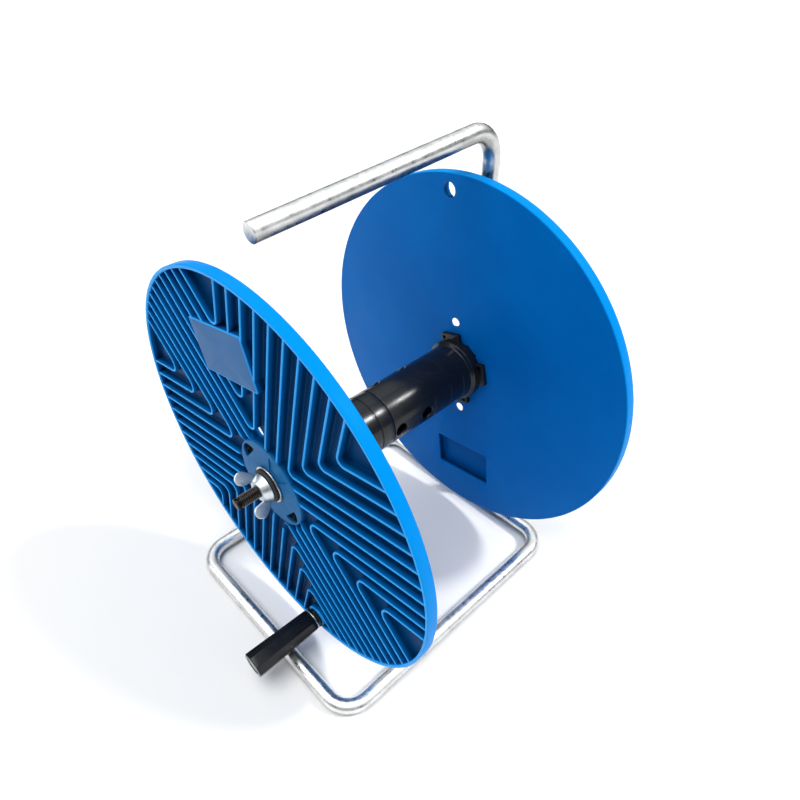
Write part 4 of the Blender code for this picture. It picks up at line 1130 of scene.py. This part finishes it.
def nut_part(flats, bore, low, high, offset, heading=0.0, trim=0.94):
    """A hexagonal nut: the outline is flats / 2 / cos(angle to the nearest flat), trimmed by a cone."""
    turn = full_turn(120)
    nearest = (turn + math.pi / 6.0) % (math.pi / 3.0) - math.pi / 6.0
    hexagon = np.minimum(0.5 * flats / np.cos(nearest), 0.5 * flats * 1.135)
    share = np.array([0.0, 0.0, 0.12, 0.5, 0.8, 0.86, 0.92, 0.96, 1.0])[:, None]
    out = bore + share * (hexagon[None] - bore)
    drop = np.maximum(0.0, out - 0.5 * flats * trim) * math.tan(math.radians(28.0))
    drop[0], drop[1] = 0.0006, 0.0003
    out[0], out[1] = bore - 0.0003, bore
    out = np.concatenate([out, out[::-1]])
    level = np.concatenate([low + drop, high - drop[::-1]])
    angle = turn[None] + heading
    points = np.stack([out * np.cos(angle) + offset[0], level + RIM_Y, out * np.sin(angle) + offset[1]], -1)
    return grid(points, wrap_rows=True)


CRANK_HEADING = LABEL_HEADING + math.pi
BOLT_X = CRANK_OUT * math.cos(CRANK_HEADING)
BOLT_Z = CRANK_OUT * math.sin(CRANK_HEADING)
BOLT_PLACE = (BOLT_X, AXLE_Z + BOLT_Z)
AXLE_PLACE = (0.0, AXLE_Z)


def add_nut(node, flats, bore, place, finish, body, heading=0.0):
    """A nut in its node's place along the axle."""
    near, far = station(node)
    nut = nut_part(flats, bore, near, far, place, heading)
    add_parts(node + "_forged", [nut], finish, body, (node,), 24.0)


add_nut("axle_nut", 0.013, 0.0043, AXLE_PLACE, hardware_zinc, "frame")
add_nut("crank_lock_nut", 0.017, 0.0033, BOLT_PLACE, thread_steel, "drum")
add_nut("crank_inner_nut", 0.014, 0.0033, BOLT_PLACE, hardware_zinc, "drum")
centred_ring("rear_washer", 0.0043, 0.0003, hardware_zinc, "frame", "rear_washer_stamped")
centred_ring("fender_washer", 0.0052, 0.00045, hardware_zinc, "brake_stack",
             "fender_washer_stamped")
centred_ring("brake_washer", 0.0052, 0.0007, rubber, "brake_stack", "brake_washer_moulded")
centred_ring("crank_washer", 0.0033, 0.0004, hardware_zinc, "drum", "crank_washer_stamped",
             (BOLT_X, BOLT_Z))
centred_ring("rear_spacer", 0.0043, 0.0004, bush_plastic, "frame", "rear_spacer_sleeve")

# %% [markdown]
# The remaining small pieces are mostly hidden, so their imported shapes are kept: the copy's triangles
# are merged, and a narrow bevel breaks its edges as tumbling would.

# %% Softened copies of small pieces
def softened(node, width, finish, body, name):
    """A merged copy of a node's mesh with its edges broken."""
    low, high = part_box(node)
    shape = bmesh.new()
    shape.from_mesh(frame["nodes"][node].data)
    bmesh.ops.transform(shape, matrix=frame["nodes"][node].matrix_world, verts=shape.verts)
    bmesh.ops.remove_doubles(shape, verts=shape.verts, dist=2e-6)
    bmesh.ops.dissolve_limit(shape, angle_limit=math.radians(2.0), verts=shape.verts, edges=shape.edges)
    sharp = [edge for edge in shape.edges if edge.is_manifold and edge.calc_face_angle() > math.radians(35.0)]
    bmesh.ops.bevel(shape, geom=sharp, offset=width, segments=2, affect="EDGES", clamp_overlap=True)
    mesh = bpy.data.meshes.new(name)
    shape.to_mesh(mesh)
    shape.free()
    print(name, "box", [round(v, 4) for v in (*low, *high)])
    return add_piece(name, mesh, finish, body, (node,), 32.0)


softened("front_bush", 0.0002, bush_plastic, "drum", "front_bush_moulded")
softened("rear_bush", 0.0002, bush_plastic, "drum", "rear_bush_moulded")
softened("crank_bolt", 0.0003, hardware_zinc, "drum", "crank_bolt_forged")
softened("grip_cap", 0.0003, grip_plastic, "grip", "grip_cap_moulded")

# %% [markdown]
# ## The wing nut
# The wing nut is cast: a tapered hub with two paddles, which lean away from the drum. A paddle is a
# flat outline given a thickness, and its edges are rounded all the way so that they catch the
# light. Both paddles are rooted deep in the hub's wall, as they are in the casting.

# %% Cast wing nut
WING_HIGH = station("wing_nut")[1]
WING_HEADING = math.radians(135.0)
WING_SPAN, WING_HEIGHT = 0.039, 0.0175
PADDLE, PADDLE_HALF, PADDLE_EDGE = 0.0054, 0.00118, 0.0007
WING_HUB = 0.0070
WING_BORE, WING_BASE, WING_FRONT = 0.0051, 0.0118, 0.0086


def paddle_outline():
    """Places as (out from the axle, up from the hub's base): a root, then an arc about the paddle."""
    centre = (0.5 * WING_SPAN - PADDLE, WING_HEIGHT - PADDLE)
    turn = np.radians(np.linspace(-35.0, 158.0, 28))
    arc = np.stack([centre[0] + PADDLE * np.cos(turn), centre[1] + PADDLE * np.sin(turn)], -1)
    root = rounded([(0.0065, 0.0009), (0.0114, 0.0009), tuple(arc[0])], [0.0, 0.002, 0.0], 4, closed=False)
    back = rounded([tuple(arc[-1]), (0.0078, 0.0062), (0.0065, 0.0062)], [0.0, 0.0012, 0.0], 4, closed=False)
    return np.concatenate([root[:-1], arc, back[1:]])


def paddle_part(heading):
    """The outline's solid, stood on the hub: its thickness lies across the heading."""
    points, faces, drawn = prism(paddle_outline(), -PADDLE_HALF, PADDLE_HALF, PADDLE_EDGE, PADDLE_EDGE, 5,
                                 (0.0104, 0.0066))
    out, up, across = points.T
    x = out * math.cos(heading) - across * math.sin(heading)
    z = out * math.sin(heading) + across * math.cos(heading)
    return np.stack([x, WING_HIGH - up + RIM_Y, z + AXLE_Z], -1), faces, drawn


def wing_parts():
    """The hub with its bore and a small lead-in, and the two paddles rooted in its wall."""
    top = WING_HIGH - WING_HUB
    corners = [(WING_BORE, WING_HIGH), (WING_BASE, WING_HIGH), (WING_BASE - 0.0006, WING_HIGH - 0.0014),
               (WING_FRONT, top), (0.0060, top), (WING_BORE, top + 0.0008)]
    profile = rounded(corners, [0.0002, 0.0004, 0.0012, 0.0009, 0.0003, 0.0002], 5)
    return [lathe(profile, 88), paddle_part(WING_HEADING), paddle_part(WING_HEADING + math.pi)]


add_parts("wing_nut_casting", wing_parts(), wing_zinc, "wing_nut", ("wing_nut",), 34.0)

# %% [markdown]
# ## The crank grip
# The grip is an eight-sided tapered moulding. Its section is an octagon with small rounded corners,
# sampled at the same number of points for every ring, and the rings run from the cap's well, over
# the end's chamfer and down the sides to the bolt's bore.

# %% Eight-sided grip
GRIP_LOW, GRIP_HIGH = station("crank_grip")
CORNER = 0.0011


def octagon(radius, corner):
    """An octagon with rounded corners, as 8 * 10 places, corners lying on the radius."""
    turn = np.arange(8) * math.pi / 4.0
    return rounded(np.stack([radius * np.cos(turn), radius * np.sin(turn)], -1), corner, 9)


def grip_part():
    """Rings of the grip as (kind, size, station): round inside the well and the bore, else octagon."""
    tip, base, chamfer, bore, well = 0.01215, 0.01066, 0.0009, 0.0034, 0.0078
    floor = GRIP_LOW + 0.007
    direction = octagon(1.0, 0.08)
    circle = direction / np.linalg.norm(direction, axis=1)[:, None]
    rings = [(circle * bore, GRIP_HIGH), (circle * bore, floor), (circle * well, floor),
             (circle * well, GRIP_LOW + 0.0004), (circle * (well + 0.0002), GRIP_LOW + 0.0001)]
    turn = np.linspace(0.0, 0.5 * np.pi, 5)
    for step in turn:
        rings.append((octagon(tip - chamfer * (1.0 - np.sin(step)), CORNER),
                      GRIP_LOW + chamfer * (1.0 - np.cos(step))))
    for share in np.linspace(0.0, 1.0, 14)[1:-1]:
        rings.append((octagon(tip + (base - tip) * share, CORNER), GRIP_LOW + (GRIP_HIGH - GRIP_LOW) * share))
    for step in turn[::-1]:
        rings.append((octagon(base - chamfer * (1.0 - np.sin(step)), CORNER),
                      GRIP_HIGH - chamfer * (1.0 - np.cos(step))))
    points = np.stack([np.column_stack([ring[:, 0] + BOLT_PLACE[0], np.full(len(ring), level + RIM_Y),
                                        ring[:, 1] + BOLT_PLACE[1]]) for ring, level in rings])
    return grid(points, wrap_rows=True)


add_parts("crank_grip_moulded", [grip_part()], grip_plastic, "grip", ("crank_grip",), 40.0)

# %% [markdown]
# ## Stage, light and camera
# The floor is plain and pale and holds the shadow. Two soft panels light the winder from the crank
# side and from the right. A wide sky lights it from above, and a narrower light from behind draws
# the gloss along the core. Only the camera sees the white background, so it adds no light; all else
# sees a soft sky that brightens overhead.

# %% Floor
floor_mesh = bpy.data.meshes.new("floor")
floor_corners = [(x, y, -0.0002) for x, y in ((-6.0, -6.0), (6.0, -6.0), (6.0, 6.0), (-6.0, 6.0))]
floor_mesh.from_pydata(floor_corners, [], [(0, 1, 2, 3)])
floor_finish, _, floor_shader = new_finish("pale_floor", 0.9)
floor_shader.inputs["Base Color"].default_value = (0.9, 0.9, 0.9, 1.0)
floor_shader.inputs["Specular IOR Level"].default_value = 0.1
floor_mesh.materials.append(floor_finish)
linked("floor", floor_mesh)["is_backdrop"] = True

# %% Light panels and the sky
HUB = Vector((0.0, 0.0, AXLE_Z))


def panel(name, place, size, power):
    """A soft rectangular light that faces the winder."""
    lamp = bpy.data.lights.new(name, "AREA")
    lamp.shape = "RECTANGLE"
    lamp.size, lamp.size_y = size
    lamp.energy = power
    thing = linked(name, lamp)
    thing.location = place
    thing.rotation_euler = (HUB - Vector(place)).to_track_quat("-Z", "Y").to_euler()
    thing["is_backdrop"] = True


panel("front_panel", (-1.2, -1.9, 0.9), (1.0, 1.0), 8.0)
panel("right_panel", (2.0, 0.5, 0.8), (0.7, 1.4), 2.5)


def distant(name, towards, energy, width):
    """A light so far away that its rays are parallel, as wide in the sky as an angle in degrees."""
    lamp = bpy.data.lights.new(name, "SUN")
    lamp.energy = energy
    lamp.angle = math.radians(width)
    thing = linked(name, lamp)
    thing.rotation_euler = Vector(towards).to_track_quat("Z", "Y").to_euler()
    thing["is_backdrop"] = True


distant("overhead_sky", (-0.05, -0.24, 1.0), 2.05, 50.0)
distant("back_light", (0.46, 0.49, 0.74), 2.0, 9.0)

world = bpy.data.worlds.new("studio")
world.use_nodes = True
bpy.context.scene.world = world
tree = world.node_tree
tree.nodes.clear()
output = tree.nodes.new("ShaderNodeOutputWorld")
choose = tree.nodes.new("ShaderNodeMixShader")
white = tree.nodes.new("ShaderNodeBackground")
white.inputs["Color"].default_value = (1.0, 1.0, 1.0, 1.0)
sky = tree.nodes.new("ShaderNodeBackground")
ray = tree.nodes.new("ShaderNodeLightPath")
direction = tree.nodes.new("ShaderNodeTexCoord")
split = tree.nodes.new("ShaderNodeSeparateXYZ")
tree.links.new(direction.outputs["Generated"], split.inputs[0])
sky.inputs["Color"].default_value = (0.95, 0.98, 1.0, 1.0)
soft = spread(tree, split.outputs["Z"], 0.05, 0.75, 0.10, 0.46)
shiny = spread(tree, split.outputs["Z"], 0.25, 0.85, 0.12, 1.25)
strength = total(tree, product(tree, soft, ray.outputs["Is Diffuse Ray"]),
                 product(tree, shiny, ray.outputs["Is Glossy Ray"]))
tree.links.new(strength, sky.inputs["Strength"])
tree.links.new(ray.outputs["Is Camera Ray"], choose.inputs[0])
tree.links.new(sky.outputs[0], choose.inputs[1])
tree.links.new(white.outputs[0], choose.inputs[2])
tree.links.new(choose.outputs[0], output.inputs["Surface"])

# %% Camera, matched to the reference picture
azimuth, elevation, roll = (math.radians(v) for v in (48.9622, 44.5397, -2.5327))
back = Vector((math.sin(azimuth) * math.cos(elevation), -math.cos(azimuth) * math.cos(elevation),
               math.sin(elevation)))
level = Vector((math.cos(azimuth), math.sin(azimuth), 0.0))
upright = back.cross(level)
right = math.cos(roll) * level + math.sin(roll) * upright
up = math.cos(roll) * upright - math.sin(roll) * level
viewpoint = (0.284988, RIM_Y - 0.133287, AXLE_Z + 0.319820)
lens = bpy.data.cameras.new("camera")
lens.sensor_width = 36.0
lens.lens = 26.547
lens.shift_x = 0.02035
lens.shift_y = 0.07296
lens.clip_start = 0.01
camera = linked("camera", lens)
turn_to = Matrix((right, up, back)).transposed().to_4x4()
camera.matrix_world = Matrix.Translation(viewpoint) @ turn_to
bpy.context.scene.camera = camera
bpy.context.scene.view_settings.view_transform = "Standard"

# %% [markdown]
# Last, the dressed model must fill the same box as the frame, so the change of each side of the
# box is printed, in millimetres.

# %% Compare sizes and finish
new_low, new_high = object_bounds()
changes = [round(1000.0 * (a - b), 3) for a, b in zip((*new_low, *new_high), (*cad_low, *cad_high))]
print("size change mm", changes)
